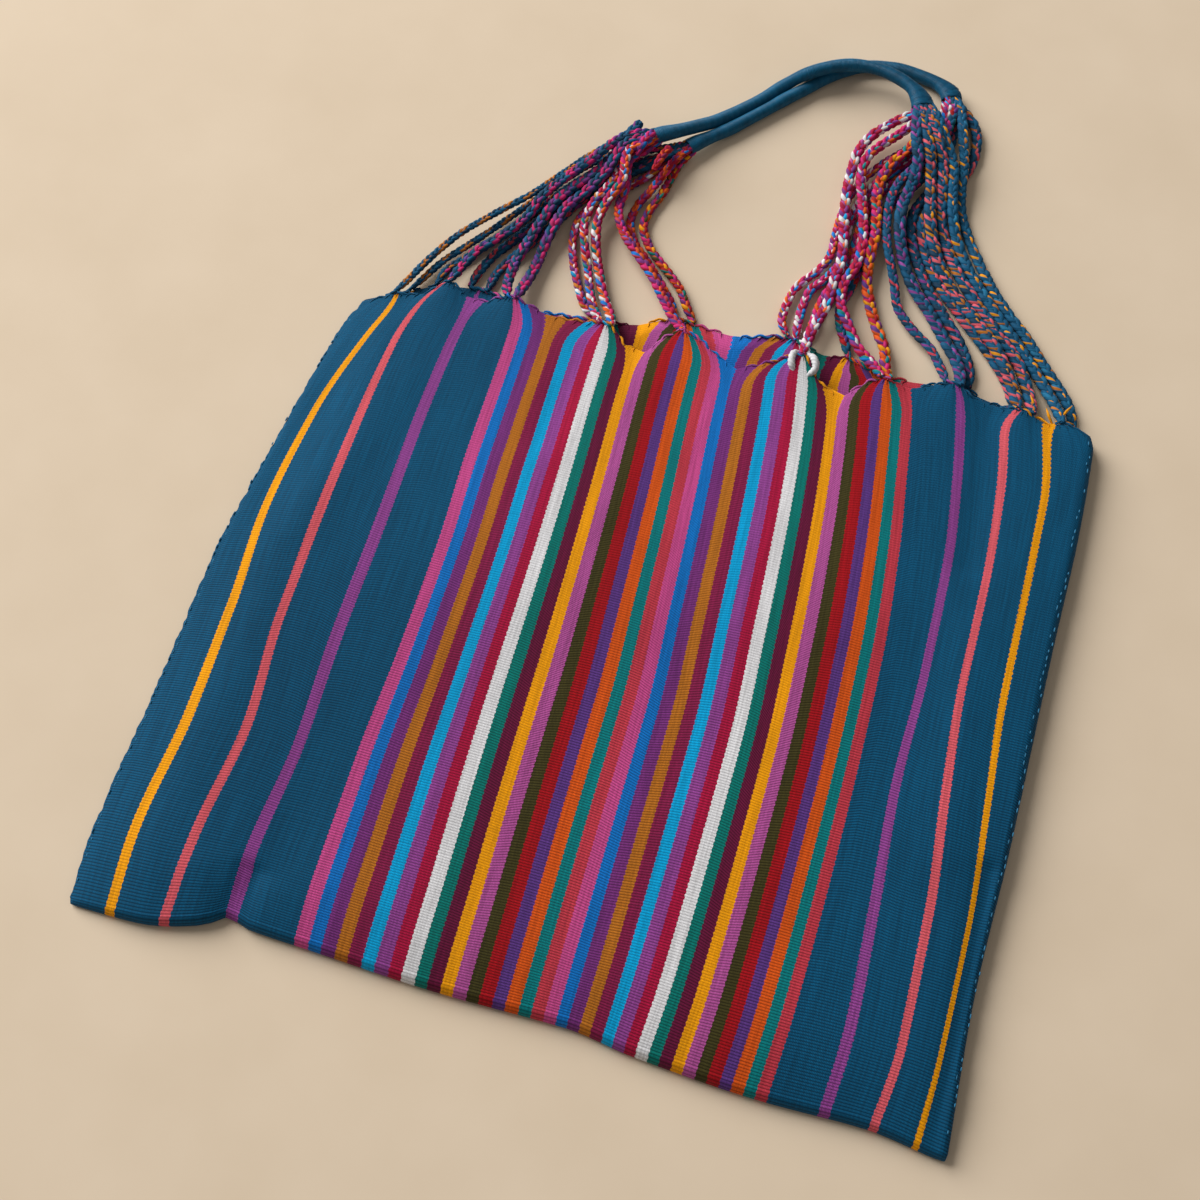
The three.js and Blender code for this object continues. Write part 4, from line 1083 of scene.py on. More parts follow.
def grown(name, lines, tree, material, **sizes):
    """Runs a tree on the lines with these sizes and keeps the result as a plain mesh piece."""
    source = line_object(name + "_line", lines)
    modifier = source.modifiers.new("tree", "NODES")
    modifier.node_group = tree
    sockets = {item.name: item.identifier for item in tree.interface.items_tree
               if item.in_out == "INPUT"}
    modifier[sockets["Material"]] = material
    for label, value in sizes.items():
        modifier[sockets[label.replace("_", " ")]] = value
    graph = bpy.context.evaluated_depsgraph_get()
    mesh = bpy.data.meshes.new_from_object(source.evaluated_get(graph), depsgraph=graph)
    curve = source.data
    source.modifiers.remove(modifier)
    bpy.data.objects.remove(source)
    bpy.data.curves.remove(curve)
    mesh.name = name
    return placed(name, mesh)


def read(mesh, name):
    """A whole number that the tree left on every point of the mesh."""
    values = np.empty(len(mesh.vertices), int)
    mesh.attributes[name].data.foreach_get("value", values)
    return values


def triangle_count(mesh):
    return len(mesh.loops) - 2 * len(mesh.polygons)


def as_inputs(sizes):
    """Sizes under the names that grown() takes them by."""
    return {label.replace(" ", "_"): value for label, value in sizes.items()}


def paint(mesh, colours):
    """Writes a colour for every point of the mesh, which the yarn material reads."""
    layer = mesh.color_attributes.new("dye", "FLOAT_COLOR", "POINT")
    layer.data.foreach_set("color", np.asarray(colours, np.float32).ravel())


print("line and mesh helpers are ready")

# %% The finish of braiding yarn
def braided_yarn():
    material, tree, shader = new_material("braided cotton yarn", Roughness=0.74, Sheen_Weight=0.05,
                                          Sheen_Roughness=0.45, Specular_IOR_Level=0.2)
    colour = put(tree, "ShaderNodeAttribute", attribute_name="dye").outputs["Color"]
    solid = put(tree, "ShaderNodeTexCoord").outputs["Object"]
    fibre = noise(tree, solid, 2300.0, 2.0)
    patch = noise(tree, solid, 260.0, 2.0)
    shade = calc(tree, "MULTIPLY", fade(tree, fibre, 0.2, 0.8, 0.82, 1.16),
                 fade(tree, patch, 0.25, 0.75, 0.86, 1.12))
    tree.links.new(tinted(tree, colour, shade), shader.inputs["Base Color"])
    bump = put(tree, "ShaderNodeBump", {"Strength": 0.6, "Distance": 0.12 * mm, "Height": fibre})
    tree.links.new(bump.outputs["Normal"], shader.inputs["Normal"])
    tree.links.new(fade(tree, fibre, 0.0, 1.0, 0.62, 0.86), shader.inputs["Roughness"])
    return material


yarn_material = braided_yarn()
print("braiding yarn is ready")

# %% The colours of each braid
# The yarns of each braid in order, strand after strand, so yarns of one dye lie together. The
# bright braids have four thick yarns to a strand, and the teal ones have six thin ones.
BRAID_DYES = {
    "front_a": "teal*2 ochre deep_teal teal*2 ochre teal*2 deep_teal ochre deep_teal",
    "back_a": "teal*2 ochre teal*3 ochre deep_teal*2 teal ochre teal",
    "front_b": "deep_teal teal magenta deep_teal violet teal "
               "magenta deep_teal purple teal deep_teal magenta",
    "front_c": "magenta deep_teal purple deep_teal teal magenta "
               "violet deep_teal magenta deep_teal purple teal",
    "front_d": "purple deep_teal magenta deep_teal violet teal "
               "deep_teal magenta purple deep_teal magenta teal",
    "back_b": "teal*2 ochre deep_teal teal*2 magenta deep_teal teal ochre teal deep_teal",
    "back_c": "deep_teal rose deep_teal teal*2 rose deep_teal teal purple teal deep_teal rose",
    "back_d": "deep_teal*2 rose teal deep_teal purple teal*2 deep_teal rose teal*2",
    "front_e": "white crimson purple orange crimson magenta leaf violet white crimson blue ochre",
    "front_f": "white orange purple crimson blue orange magenta maroon white crimson leaf orange",
    "front_g": "magenta violet orange crimson magenta purple rose blue orange crimson purple magenta",
    "back_e": "white crimson violet cyan orchid orange purple crimson rose purple ochre crimson",
    "back_f": "orange red violet crimson orange magenta crimson purple red orange blue crimson",
    "back_g": "orange yellow crimson olive violet red orange crimson magenta green red purple",
    "front_h": "crimson white magenta purple crimson orchid cyan magenta crimson orange white purple",
    "front_i": "crimson purple white magenta leaf crimson magenta blue orange magenta crimson purple",
    "front_j": "orange yellow crimson leaf orange violet magenta red orange red yellow purple",
    "back_h": "crimson orchid white magenta blue crimson magenta ochre crimson white orange purple",
    "back_i": "crimson white magenta cyan orchid crimson purple magenta crimson blue magenta white",
    "back_j": "magenta crimson cyan purple white orange crimson magenta purple crimson orange magenta",
    "back_k": "leaf red*2 orchid teal*4 orange violet*2 green magenta teal*3 red purple",
    "front_k": "teal*2 rose teal*3 purple deep_teal*3 rose teal*2 purple teal*4",
    "front_l": "teal*3 purple teal*3 purple deep_teal*4 lilac teal*2 purple teal*2",
    "back_l": "teal*3 purple teal deep_teal*6 rose teal*3 coral teal*2",
    "front_m": "teal*2 coral teal*3 ochre teal*2 coral deep_teal*3 "
               "ochre deep_teal coral teal yellow teal",
    "front_n": "teal coral teal*3 ochre teal coral teal*3 coral deep_teal*2 ochre teal coral teal",
    "back_m": "teal*2 coral teal*3 coral deep_teal*4 rose teal ochre teal*3",
    "front_o": "teal*3 ochre teal*4 bright_teal*2 teal*4 yellow teal*3",
    "back_n": "teal*4 ochre bright_teal teal*5 bright_teal teal*3 yellow teal*2",
}
BRAID_SHARES = {  # how thick each braid was made, next to the usual one
    "front_a": 0.72, "back_a": 0.72, "back_b": 0.8, "front_b": 0.96, "front_c": 1.04, "front_d": 1.08,
    "back_c": 0.94, "back_d": 0.94, "front_e": 0.9, "front_f": 0.98, "back_e": 0.86, "front_g": 0.94,
    "back_f": 0.86, "back_g": 0.88, "front_h": 1.05, "back_h": 0.86, "back_i": 0.92, "back_j": 0.92,
    "front_i": 1.0, "front_j": 1.1, "back_k": 0.9, "front_k": 0.84, "front_l": 1.08, "back_l": 0.98,
    "front_m": 1.1, "front_n": 1.1, "back_m": 1.0, "front_o": 1.0, "back_n": 0.94,
}


DYE_SPREAD = 0.16               # a yarn may be this share lighter or darker than its dye


def dye_list(text, seed):
    """The yarns that a text names, as linear colours, each a little lighter or darker."""
    names = []
    for word in text.split():
        name, _, count = word.partition("*")
        names += [name.replace("_", " ")] * int(count or 1)
    shades = 1 + DYE_SPREAD * np.random.default_rng(seed).uniform(-1, 1, len(names))
    return np.array([linear(name, shade) for name, shade in zip(names, shades)])


# the plain teal braids were pulled tighter, so they are flatter and smoother than the bright ones
SMOOTH = {"front_k", "front_l", "back_l", "front_m", "front_n", "back_m", "front_o", "back_n"}
SMOOTH_CHANGES = {"Half Width": 1.1, "Half Height": 0.5, "Strand Radius": 1.08, "Crossing": 1.15,
                  "Lay Turn": 0.8, "Groove": 0.75}
counts = {name: len(dye_list(text, 0)) for name, text in BRAID_DYES.items()}
print("yarns in each braid:", sorted(set(counts.values())))

# %% Where each braid leaves the mouth
TIP_RADIUS = 1.5 * mm
FLOOR_ROOM = 0.3 * mm
FOOT_LIFT = {"front": 1.0 * mm, "back": 1.4 * mm}     # how far a foot stands above the lip
lips = {"front": (outer_front[-1] + inner_front[-1]) / 2,
        "back": (outer_back[-1] + inner_back[-1]) / 2}


def foot_place(panel, x, toward):
    """The place just above the lip of the mouth where a braid's yarns come together."""
    lip = lips[panel]
    y = np.interp([x - TIP_RADIUS, x, x + TIP_RADIUS], lip[:, 0], lip[:, 1]).max()
    lean = abs(toward[0] - x) / max(np.hypot(toward[0] - x, toward[1] - y), 1e-6)
    z = float(np.interp(x, lip[:, 0], lip[:, 2])) + FOOT_LIFT[panel]
    return np.array([x, y + CLEARANCE + TIP_RADIUS * lean, max(z, TIP_RADIUS + FLOOR_ROOM)])


braid_lines = {}
for name, (side, panel, foot_x, lane, rows, route) in BRAIDS.items():
    start = foot_place(panel, foot_x, route[0])
    braid_lines[name] = smooth_line([start, *route, *lane_points(panel, side, lane, rows)], 2 * mm)

# %% Grow the braids
USUAL_SIZES = {**BRAID_SIZES, **STRAND_SIZES}
THICKENED = ("Half Width", "Half Height", "Crossing", "Strand Radius")
RING_POINTS = 18                # round each strand, shared out among its yarns
braids = {}
for number, (name, line) in enumerate(braid_lines.items()):
    share = BRAID_SHARES[name]
    change = SMOOTH_CHANGES if name in SMOOTH else {}
    scaled = as_inputs({size: USUAL_SIZES[size] * share * change.get(size, 1) for size in THICKENED})
    scaled |= as_inputs({size: USUAL_SIZES[size] * change.get(size, 1)
                         for size in ("Lay Turn", "Groove")})
    dyes = dye_list(BRAID_DYES[name], 40 + number)
    yarns = len(dyes) // 3
    piece = grown("plait_" + name, [line], plait_tree, yarn_material, Yarns=yarns,
                  Points_A_Yarn=RING_POINTS // yarns, **scaled)
    yarn = read(piece.data, "bundle") * yarns + read(piece.data, "yarn")
    paint(piece.data, dyes[yarn])
    braids[name] = piece
triangles = sum(triangle_count(piece.data) for piece in braids.values())
print("braids:", len(braids), "with", triangles, "triangles")

# %% [markdown]
# ## The gathers at the mouth
#
# The warp isn't cut at the mouth. The ends of each stripe come over the lip, lie down along it
# towards the nearest foot, and twist round their neighbours on the way. That is what draws the
# mouth into scallops and puts a coloured cord along each of them. Here every stripe gives one
# soft strand, and a wide teal margin gives one for each stripe's width of it. The strands use
# the same tree as the braids, and a strand grows from thin to full where it leaves the cloth.

# %% Lines of the gathered ends
GATHER_SIZES = {"Yarns": 3, "Points A Yarn": 3, "Strand Radius": 0.74 * mm, "Groove": 0.16,
                "Lay Turn": 7.0 * mm}
GATHER_STEP = 1.1 * mm
GATHER_TURN = 9.0 * mm          # how far the ends run for one turn round each other
GATHER_TWIST = 0.85 * mm        # how far from their common middle they lie at the foot
GATHER_BELOW = 3.0 * mm         # how far below the lip an end starts to show
GATHER_BEND = 1.3 * mm          # how far below the lip it bends over
GATHER_INTO = 5.0 * mm          # how far it goes on into its braid
GATHER_EASE = 7 * mm            # the run over which a thin end grows to its full size
THIN_END = 0.15                 # share of the full size at its beginning
GATHER_LOW = 1.15 * mm          # no end lies lower than this
LIP_OUT = 0.45 * mm             # how far past the edge of the lip the ends lie
LIP_LIFT = {"front": 0.35 * mm, "back": 0.75 * mm}
SAME_FOOT = 6 * mm              # a braid this near to a foot grows out of it
PLUMP_WHITE = 1.5

lip_x = {panel: lip[:, 0] for panel, lip in lips.items()}
shown_skin = {"front": outer_front, "back": inner_back}
skin_step = {"front": RIB_PITCH / 2, "back": RIBS * RIB_PITCH / len(inner_up)}


def on_skin(panel, place, below):
    """A point of the skin that faces up, below the lip on the thread at this flat place."""
    rows = shown_skin[panel]
    back = min(below / skin_step[panel], len(rows) - 2)
    low = int(back)
    pair = [[np.interp(place, flat, rows[-1 - k][:, axis]) for axis in range(3)]
            for k in (low, low + 1)]
    return np.array(pair[0]) + (back - low) * (np.array(pair[1]) - np.array(pair[0]))


def on_lip(panel, place):
    return np.array([np.interp(place, flat, lips[panel][:, axis]) for axis in range(3)])


def gather_line(panel, place, foot, braid_line, phase):
    """The way of one stripe's ends, from the cloth along the lip and into a braid."""
    foot_place_flat = float(np.interp(foot, lip_x[panel], flat))
    side = 1.0 if foot_place_flat >= place else -1.0
    count = max(1, round(abs(foot_place_flat - place) / (3 * mm)))
    along = [on_lip(panel, f) for f in np.linspace(place, foot_place_flat, count + 1)]
    outward = []
    for here, after in zip(along, along[1:] + [along[-1]]):
        step = (after - here) * side if after is not here else np.array([1.0, 0.0, 0.0])
        out = np.array([-step[1], step[0], 0.0])
        outward.append(out / max(np.linalg.norm(out), 1e-9))
    raised = [here + out * LIP_OUT + (0, 0, LIP_LIFT[panel]) for here, out in zip(along, outward)]
    start = on_skin(panel, place, GATHER_BELOW) + (0, 0, 0.1 * mm)
    over = on_skin(panel, place, GATHER_BEND) + (0, 0, 0.3 * mm)
    last = max(2, round(GATHER_INTO / (2 * mm)))
    line = smooth_line([start, over, *raised[:-1], *braid_line[:last + 1]], GATHER_STEP)
    run = run_along(line)
    to_foot = run[-1] - GATHER_INTO - run
    reach = GATHER_TWIST * ease((run - 4 * mm) / GATHER_EASE)
    reach = reach * (1 - 0.35 * ease(-to_foot / GATHER_INTO))
    turn = 2 * math.pi * (to_foot / GATHER_TURN + phase)
    tangent = np.gradient(line, axis=0)
    sideways = np.cross(tangent, (0, 0, 1))
    sideways /= np.linalg.norm(sideways, axis=1)[:, None]
    upward = np.cross(sideways, tangent)
    upward /= np.linalg.norm(upward, axis=1)[:, None]
    line = line + sideways * (reach * np.cos(turn))[:, None] + upward * (reach * np.sin(turn))[:, None]
    line[:, 2] = np.maximum(line[:, 2], GATHER_LOW)
    radius = THIN_END + (1 - THIN_END) * ease(run / GATHER_EASE)
    return np.column_stack([line, radius])


gather_lines = {"front": [], "back": []}
gather_dyes = {"front": [], "back": []}
for panel, lines in gather_lines.items():
    waiting = {foot: 0 for foot in FEET[panel]}
    for start, (name, width) in zip(stripe_starts, stripes):
        parts = max(1, round(width / STRIPE))
        for k in range(parts):
            place = start + width * (k + 0.5) / parts
            x = float(np.interp(place, flat, lip_x[panel]))
            which = int(np.clip(np.searchsorted(PARTINGS[panel], x) - 1, 0, len(FEET[panel]) - 1))
            foot = FEET[panel][which]
            here = [braid for braid, (_, from_panel, foot_x, *_) in BRAIDS.items()
                    if from_panel == panel and abs(foot_x - foot) < SAME_FOOT]
            waiting[foot] += 1
            if not here:
                continue
            chosen = here[waiting[foot] % len(here)]
            line = gather_line(panel, place, foot, braid_lines[chosen], waiting[foot] * 0.29)
            if name == "white":
                line[:, 3] *= PLUMP_WHITE
            lines.append(line)
            gather_dyes[panel].append(linear(name, 0.92 + 0.2 * rng.random()))
print("gathered ends:", {panel: len(lines) for panel, lines in gather_lines.items()})

# %% Grow the gathers
gathers = {}
for panel, lines in gather_lines.items():
    piece = grown("gathers_" + panel, lines, strand_tree, yarn_material, **as_inputs(GATHER_SIZES))
    paint(piece.data, np.array(gather_dyes[panel])[read(piece.data, "bundle")])
    gathers[panel] = piece
    print(panel, "gathers:", triangle_count(piece.data), "triangles")

# %% [markdown]
# ## The handles
#
# Each handle is the bundle of braids laid together and wrapped tightly with one long shiny
# thread. A tree can do just what the maker did: a core follows the line, swelling at both ends
# where the braids go in, and a thread runs round it turn beside turn.

# %% The wrapped rope tree
ROPE_SIZES = {"Rope Radius": 3.55 * mm, "Thread Radius": 0.4 * mm, "Pitch": 0.74 * mm,
              "Flare Length": 20.0 * mm, "Left Half Width": 4.6 * mm, "Right Half Width": 6.45 * mm,
              "Half Height": 3.75 * mm, "Turn Steps": 12, "Core Step": 1.5 * mm}
FLATTENING = 0.955              # lying down, the rope is a little wider than it is tall


def rope_outline(tree, given, fields, whole):
    """Half the rope's width and height at each place along it."""
    to_tip = calc(tree, "SUBTRACT", whole, fields["run"])
    left = fade(tree, fields["run"], 0.0, given["Flare Length"], 1.0, 0.0)
    right = fade(tree, to_tip, 0.0, given["Flare Length"], 1.0, 0.0)
    lumps = put(tree, "ShaderNodeTexNoise", {"Vector": fields["place"], "Scale": 55.0, "Detail": 1.0})
    lump = fade(tree, lumps.outputs[0], 0.3, 0.7, 0.94, 1.03)
    more = [calc(tree, "SUBTRACT", given[size], given["Rope Radius"])
            for size in ("Left Half Width", "Right Half Width", "Half Height")]
    wide = calc(tree, "MULTIPLY_ADD", left, more[0], given["Rope Radius"])
    wide = calc(tree, "MULTIPLY_ADD", right, more[1], wide)
    tall = calc(tree, "MULTIPLY_ADD", calc(tree, "ADD", left, right), more[2], given["Rope Radius"])
    tall = calc(tree, "MULTIPLY", tall, FLATTENING)
    return [calc(tree, "MULTIPLY", half, lump) for half in (wide, tall)]


def held_line(tree, geometry):
    """Holds what line_frame does, and the whole length of the line as well."""
    line, fields = line_frame(tree, geometry)
    whole = tree.nodes.new("GeometryNodeSplineLength").outputs["Length"]
    line, ends = capture(tree, line, "CURVE", whole=("FLOAT", whole))
    return line, fields, ends["whole"]


def wrapped_rope_tree():
    tree, given, result = new_tree("wrapped rope", ROPE_SIZES)

    # the thread: a line that goes round once in every pitch
    length = put(tree, "GeometryNodeCurveLength", {"Curve": given["Curve"]}).outputs[0]
    count = calc(tree, "MULTIPLY", calc(tree, "DIVIDE", length, given["Pitch"]), given["Turn Steps"])
    line = put(tree, "GeometryNodeResampleCurve", {"Curve": given["Curve"], "Count": count},
               mode="COUNT").outputs[0]
    line, fields, whole = held_line(tree, line)
    wide, tall = rope_outline(tree, given, fields, whole)
    angle = calc(tree, "MULTIPLY", calc(tree, "DIVIDE", fields["run"], given["Pitch"]), 2 * math.pi)
    line = moved_to(tree, line, fields, calc(tree, "MULTIPLY", calc(tree, "COSINE", angle), wide),
                    calc(tree, "MULTIPLY", calc(tree, "SINE", angle), tall))
    line = put(tree, "GeometryNodeSetCurveRadius", {"Curve": line, "Radius": 1.0}).outputs[0]
    ring = put(tree, "GeometryNodeCurvePrimitiveCircle",
               {"Resolution": 5, "Radius": given["Thread Radius"]})
    thread = put(tree, "GeometryNodeCurveToMesh", {"Curve": line, "Profile Curve": ring.outputs[0],
                                                   "Fill Caps": True}).outputs[0]

    # the core: a tube moved out to the same outline
    line = put(tree, "GeometryNodeResampleCurve",
               {"Curve": given["Curve"], "Length": given["Core Step"]}, mode="LENGTH").outputs[0]
    line, fields, whole = held_line(tree, line)
    wide, tall = rope_outline(tree, given, fields, whole)
    line, outline = capture(tree, line, "POINT", wide=("FLOAT", wide), tall=("FLOAT", tall))
    line = put(tree, "GeometryNodeSetCurveRadius", {"Curve": line, "Radius": 1.0}).outputs[0]
    circle = put(tree, "GeometryNodeCurvePrimitiveCircle", {"Resolution": 20, "Radius": 1.0}).outputs[0]
    turn = tree.nodes.new("GeometryNodeSplineParameter").outputs["Factor"]
    circle, around = capture(tree, circle, "POINT", turn=("FLOAT", turn))
    core = put(tree, "GeometryNodeCurveToMesh", {"Curve": line, "Profile Curve": circle,
                                                 "Fill Caps": True}).outputs[0]
    angle = calc(tree, "MULTIPLY", around["turn"], -2 * math.pi)
    core = moved_to(tree, core, fields,
                    calc(tree, "MULTIPLY", calc(tree, "COSINE", angle), outline["wide"]),
                    calc(tree, "MULTIPLY", calc(tree, "SINE", angle), outline["tall"]))

    both = put(tree, "GeometryNodeJoinGeometry")
    tree.links.new(core, both.inputs[0])
    tree.links.new(thread, both.inputs[0])
    smooth = put(tree, "GeometryNodeSetShadeSmooth", {"Geometry": both.outputs[0]}).outputs[0]
    real = put(tree, "GeometryNodeRealizeInstances", {"Geometry": smooth}).outputs[0]
    painted = put(tree, "GeometryNodeSetMaterial", {"Geometry": real, "Material": given["Material"]})
    tree.links.new(painted.outputs[0], result)
    return tree


rope_tree = wrapped_rope_tree()
print("wrapped rope tree:", len(rope_tree.nodes), "nodes")


# %% The finish of the wrapping thread
def wrapping_thread():
    material, tree, shader = new_material("satin wrapping thread", Roughness=0.5, Sheen_Weight=0.02,
                                          Sheen_Roughness=0.4, Specular_IOR_Level=0.28)
    solid = put(tree, "ShaderNodeTexCoord").outputs["Object"]
    ramp = put(tree, "ShaderNodeValToRGB", {"Fac": noise(tree, solid, 180.0, 3.0)})
    ramp.color_ramp.elements[0].position = 0.3
    ramp.color_ramp.elements[0].color = linear("rope dark")
    ramp.color_ramp.elements[1].position = 0.75
    ramp.color_ramp.elements[1].color = linear("rope light")
    tree.links.new(ramp.outputs["Color"], shader.inputs["Base Color"])
    fibre = noise(tree, solid, 2600.0, 1.0)
    tree.links.new(fade(tree, fibre, 0.2, 0.8, 0.38, 0.55), shader.inputs["Roughness"])
    bump = put(tree, "ShaderNodeBump", {"Strength": 0.35, "Distance": 0.08 * mm, "Height": fibre})
    tree.links.new(bump.outputs["Normal"], shader.inputs["Normal"])
    return material


thread_material = wrapping_thread()
handles = {}
for which, line in handle_lines.items():
    handles[which] = grown("rope_" + which, [line], rope_tree, thread_material)
    print(which, "rope:", triangle_count(handles[which].data), "triangles")

# %% [markdown]
# ## The small things: side stitches and loose ends
#
# Short pale stitches show here and there along both sides, where the two layers were whipped
# together. Each is one small grain of thread, and a tree sets them in a wandering row. At the left
# end of the front handle a few spare braids were cut off short, so three stubs stick out there.
# Bits of yellow yarn also stand up between the last braids on the right, and two plump white loops
# lie at the foot of the first ones.

# %% The stitch tree
STITCH_SIZES = {"Spacing": 4.1 * mm, "Length": 2.8 * mm, "Thickness": 0.75 * mm, "Wander": 1.1 * mm,
                "Shown": 0.66}
GRAIN_POINTS = 42               # a ball of two subdivisions has this many


def chance(tree, low, high, seed):
    node = put(tree, "FunctionNodeRandomValue", {"Seed": seed}, data_type="FLOAT")
    node.inputs[2].default_value = low
    node.inputs[3].default_value = high
    return node.outputs[1]


def stitch_tree():
    tree, given, result = new_tree("side stitches", STITCH_SIZES)
    line = put(tree, "GeometryNodeResampleCurve", {"Curve": given["Curve"], "Length": given["Spacing"]},
               mode="LENGTH").outputs[0]
    tangent = tree.nodes.new("GeometryNodeInputTangent").outputs[0]
    line, held = capture(tree, line, along=("VECTOR", tangent))
    line, fields = line_frame(tree, line)
    aside = calc(tree, "MULTIPLY", chance(tree, -1.0, 1.0, 11), given["Wander"])
    line = moved_to(tree, line, fields, aside, 0.0)
    turned = put(tree, "FunctionNodeAlignRotationToVector", {"Vector": held["along"]},
                 axis="X").outputs[0]
    long = calc(tree, "MULTIPLY", given["Length"], chance(tree, 0.6, 1.15, 12))
    size = put(tree, "ShaderNodeCombineXYZ",
               {"X": long, "Y": given["Thickness"], "Z": given["Thickness"]})
    grain = put(tree, "GeometryNodeMeshIcoSphere", {"Radius": 0.5, "Subdivisions": 2}).outputs[0]
    shown = calc(tree, "LESS_THAN", chance(tree, 0.0, 1.0, 13), given["Shown"])
    node = put(tree, "GeometryNodeInstanceOnPoints",
               {"Points": line, "Instance": grain, "Rotation": turned, "Scale": size.outputs[0]})
    tree.links.new(shown, node.inputs["Selection"])
    real = put(tree, "GeometryNodeRealizeInstances", {"Geometry": node.outputs[0]}).outputs[0]
    smooth = put(tree, "GeometryNodeSetShadeSmooth", {"Geometry": real}).outputs[0]
    painted = put(tree, "GeometryNodeSetMaterial", {"Geometry": smooth, "Material": given["Material"]})
    tree.links.new(painted.outputs[0], result)
    return tree


def seam_line(inset):
    """A line up the front skin, this far in from a side of the flat cloth."""
    place = inset if inset > 0 else CLOTH_WIDTH + inset
    rows = outer_front[6:-8:4]
    return np.array([[np.interp(place, flat, row[:, axis]) for axis in range(3)] for row in rows])


side_tree = stitch_tree()
small_pieces = {}
for side, inset in (("left", 1.4 * mm), ("right", -2.4 * mm)):
    line = seam_line(inset) + (0, 0, 0.1 * mm)
    piece = grown("stitches_" + side, [line], side_tree, yarn_material)
    paint(piece.data, np.tile(linear("stitch"), (len(piece.data.vertices), 1)))
    small_pieces[piece.name] = piece
    print(side, "stitches:", len(piece.data.vertices) // GRAIN_POINTS)

# %% Cut stubs and yellow ends
STUBS = {  # places in millimetres, share of the usual thickness, dyes
    "stub_teal": ([(-80.5, 300, 12), (-76, 309.5, 15), (-71.5, 317.5, 15.5)], 0.95,
                  "teal*6 purple*2 teal*4"),
    "stub_purple": ([(-68, 296, 14), (-66.2, 303, 17), (-62.4, 311, 18)], 0.9,
                    "purple magenta violet magenta purple rose "
                    "crimson violet magenta purple blue magenta"),
    "stub_red": ([(-56, 289, 13), (-54.2, 296, 15), (-51.3, 306, 14)], 0.85,
                 "red crimson orange red crimson red maroon crimson red magenta orange red"),
}
TUFTS = [  # places in millimetres, with the share of full thickness at each of them
    [(53.5, 196.0, 10.0, 1.0), (49.5, 193.0, 12.5, 2.8), (49.5, 187.0, 12.5, 3.1),
     (53.5, 181.0, 9.0, 1.0)],
    [(55.0, 196.0, 10.0, 1.0), (60.5, 193.0, 12.5, 2.9), (63.0, 187.0, 12.0, 3.0),
     (57.5, 180.0, 9.0, 1.0)],
    [(181.5, 195.5, 7.5, 0.7), (181.0, 199.5, 10.0, 1.1), (178.5, 204.0, 10.5, 0.3)],
    [(194.5, 191.5, 7.5, 0.8), (197.0, 195.0, 9.5, 1.2), (199.0, 199.5, 9.0, 1.1),
     (202.0, 205.5, 7.5, 0.3)],
    [(193.5, 191.0, 7.5, 0.8), (190.5, 194.5, 9.5, 1.2), (188.5, 199.0, 9.0, 0.3)],
    [(196.5, 190.5, 7.0, 0.8), (200.0, 193.5, 8.5, 1.0), (204.5, 194.5, 7.0, 0.4)],
]
for number, (name, (places, share, text)) in enumerate(STUBS.items()):
    dyes = dye_list(text, 90 + number)
    scaled = as_inputs({size: USUAL_SIZES[size] * share for size in THICKENED})
    piece = grown(name, [smooth_line(np.array(places) * mm, 1.5 * mm)], plait_tree, yarn_material,
                  Tip_Share=0.9, Tip_Ease=2 * mm, **scaled)
    paint(piece.data, dyes[read(piece.data, "bundle") * STRAND_SIZES["Yarns"]
                           + read(piece.data, "yarn")])
    small_pieces[name] = piece
tuft_lines = []
for tuft in map(np.array, TUFTS):
    line = smooth_line(tuft[:, :3] * mm, 1 * mm)
    shares = np.interp(np.linspace(0, 1, len(line)), np.linspace(0, 1, len(tuft)), tuft[:, 3])
    tuft_lines.append(np.column_stack([line, shares]))
piece = grown("loose_ends", tuft_lines, strand_tree, yarn_material, **as_inputs(GATHER_SIZES))
tuft_dyes = np.array([linear(name) for name in 2 * ["white"] + 4 * ["yellow"]])
paint(piece.data, tuft_dyes[read(piece.data, "bundle")])
small_pieces["loose_ends"] = piece
print("small pieces:", ", ".join(small_pieces))
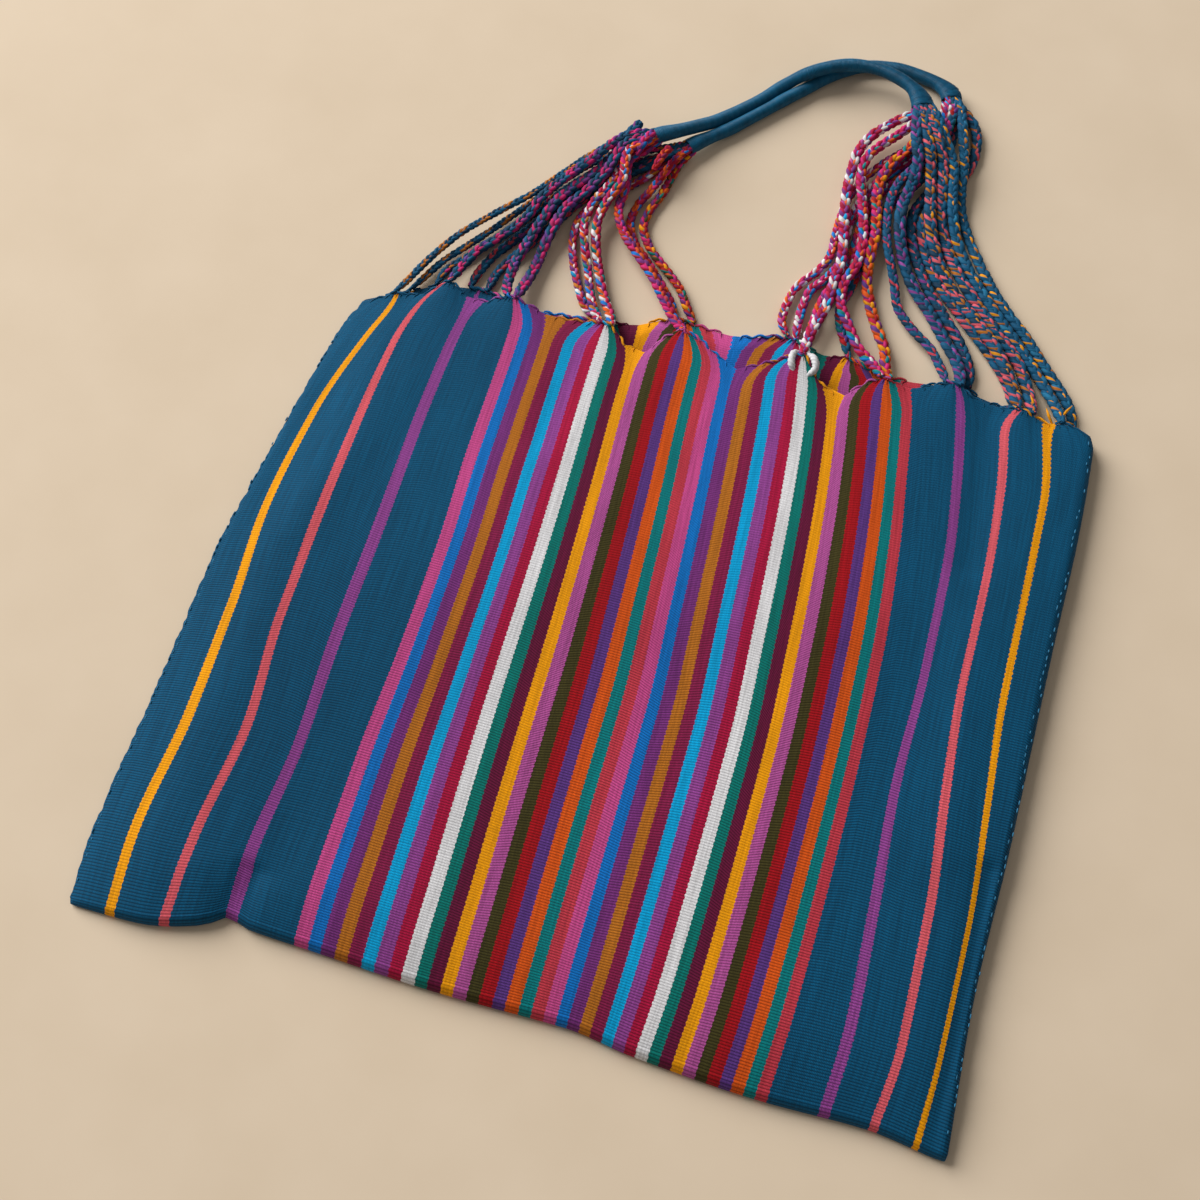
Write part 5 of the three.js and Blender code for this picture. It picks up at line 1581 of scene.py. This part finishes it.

# %% [markdown]
# ## The light and the floor
#
# One broad, soft lamp up and to the left makes the shadows short and gentle, and a pale world
# fills them. The floor is plain and pale. It isn't part of the bag, so it is not attached to the body.

# %% Floor
FLOOR_DROP = 0.2 * mm
floor_mesh = bpy.data.meshes.new("floor")
corners = [(-4, -4), (4, -4), (4, 4), (-4, 4)]
floor_mesh.from_pydata([(x, y, -FLOOR_DROP) for x, y in corners], [], [(0, 1, 2, 3)])
floor = placed("floor", floor_mesh)
floor_material, floor_tree, floor_shader = new_material("pale floor", Roughness=0.8,
                                                        Specular_IOR_Level=0.2)
mottle = put(floor_tree, "ShaderNodeValToRGB", {
    "Fac": noise(floor_tree, put(floor_tree, "ShaderNodeTexCoord").outputs["Object"], 14.0, 4.0)})
mottle.color_ramp.elements[0].color = (0.64, 0.53, 0.40, 1)
mottle.color_ramp.elements[1].color = (0.73, 0.62, 0.49, 1)
floor_tree.links.new(mottle.outputs["Color"], floor_shader.inputs["Base Color"])
floor_mesh.materials.append(floor_material)

# %% Lamp and world
lamp_data = bpy.data.lights.new("window lamp", "AREA")
lamp_data.shape = "DISK"
lamp_data.size = 5.0
lamp_data.energy = 595
lamp_data.color = (1.0, 0.965, 0.92)
lamp = placed("window_lamp", lamp_data)
LAMP_TURN = math.atan2(0.484, -0.875)
LAMP_RISE = math.radians(31)
LAMP_AWAY = 6.0
aim = Vector((math.cos(LAMP_TURN) * math.cos(LAMP_RISE), math.sin(LAMP_TURN) * math.cos(LAMP_RISE),
              math.sin(LAMP_RISE)))
lamp.location = Vector((0.0, 0.1, 0.0)) + aim * LAMP_AWAY
lamp.rotation_euler = (-aim).to_track_quat("-Z", "Y").to_euler()
world = bpy.data.worlds.new("studio")
bpy.context.scene.world = world
world.use_nodes = True
world.node_tree.nodes["Background"].inputs["Color"].default_value = (1.0, 0.93, 0.85, 1)
world.node_tree.nodes["Background"].inputs["Strength"].default_value = 0.25
bpy.context.scene.view_settings.view_transform = "Standard"
bpy.context.scene.view_settings.look = "None"
print("lamp stands at", [round(c, 2) for c in lamp.location])

# %% [markdown]
# ## Putting each piece on the body
#
# Every piece rides on the imported model's one body, and where it stands for an imported node,
# that node is hidden.

# %% Attaching the pieces
def settle(piece, material_slot, *nodes):
    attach(piece, "root")
    if nodes:
        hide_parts(*nodes)


settle(cloth, "woven_cotton", "body")
for name, piece in braids.items():
    settle(piece, "braided_yarn", "braid_" + name)
    line = even_line(braid_lines[name], 3 * mm)
for which, piece in handles.items():
    settle(piece, "wrapped_thread", "handle_" + which)
    line = even_line(handle_lines[which], 3 * mm)
for piece in [*gathers.values(), *small_pieces.values()]:
    settle(piece, "braided_yarn")
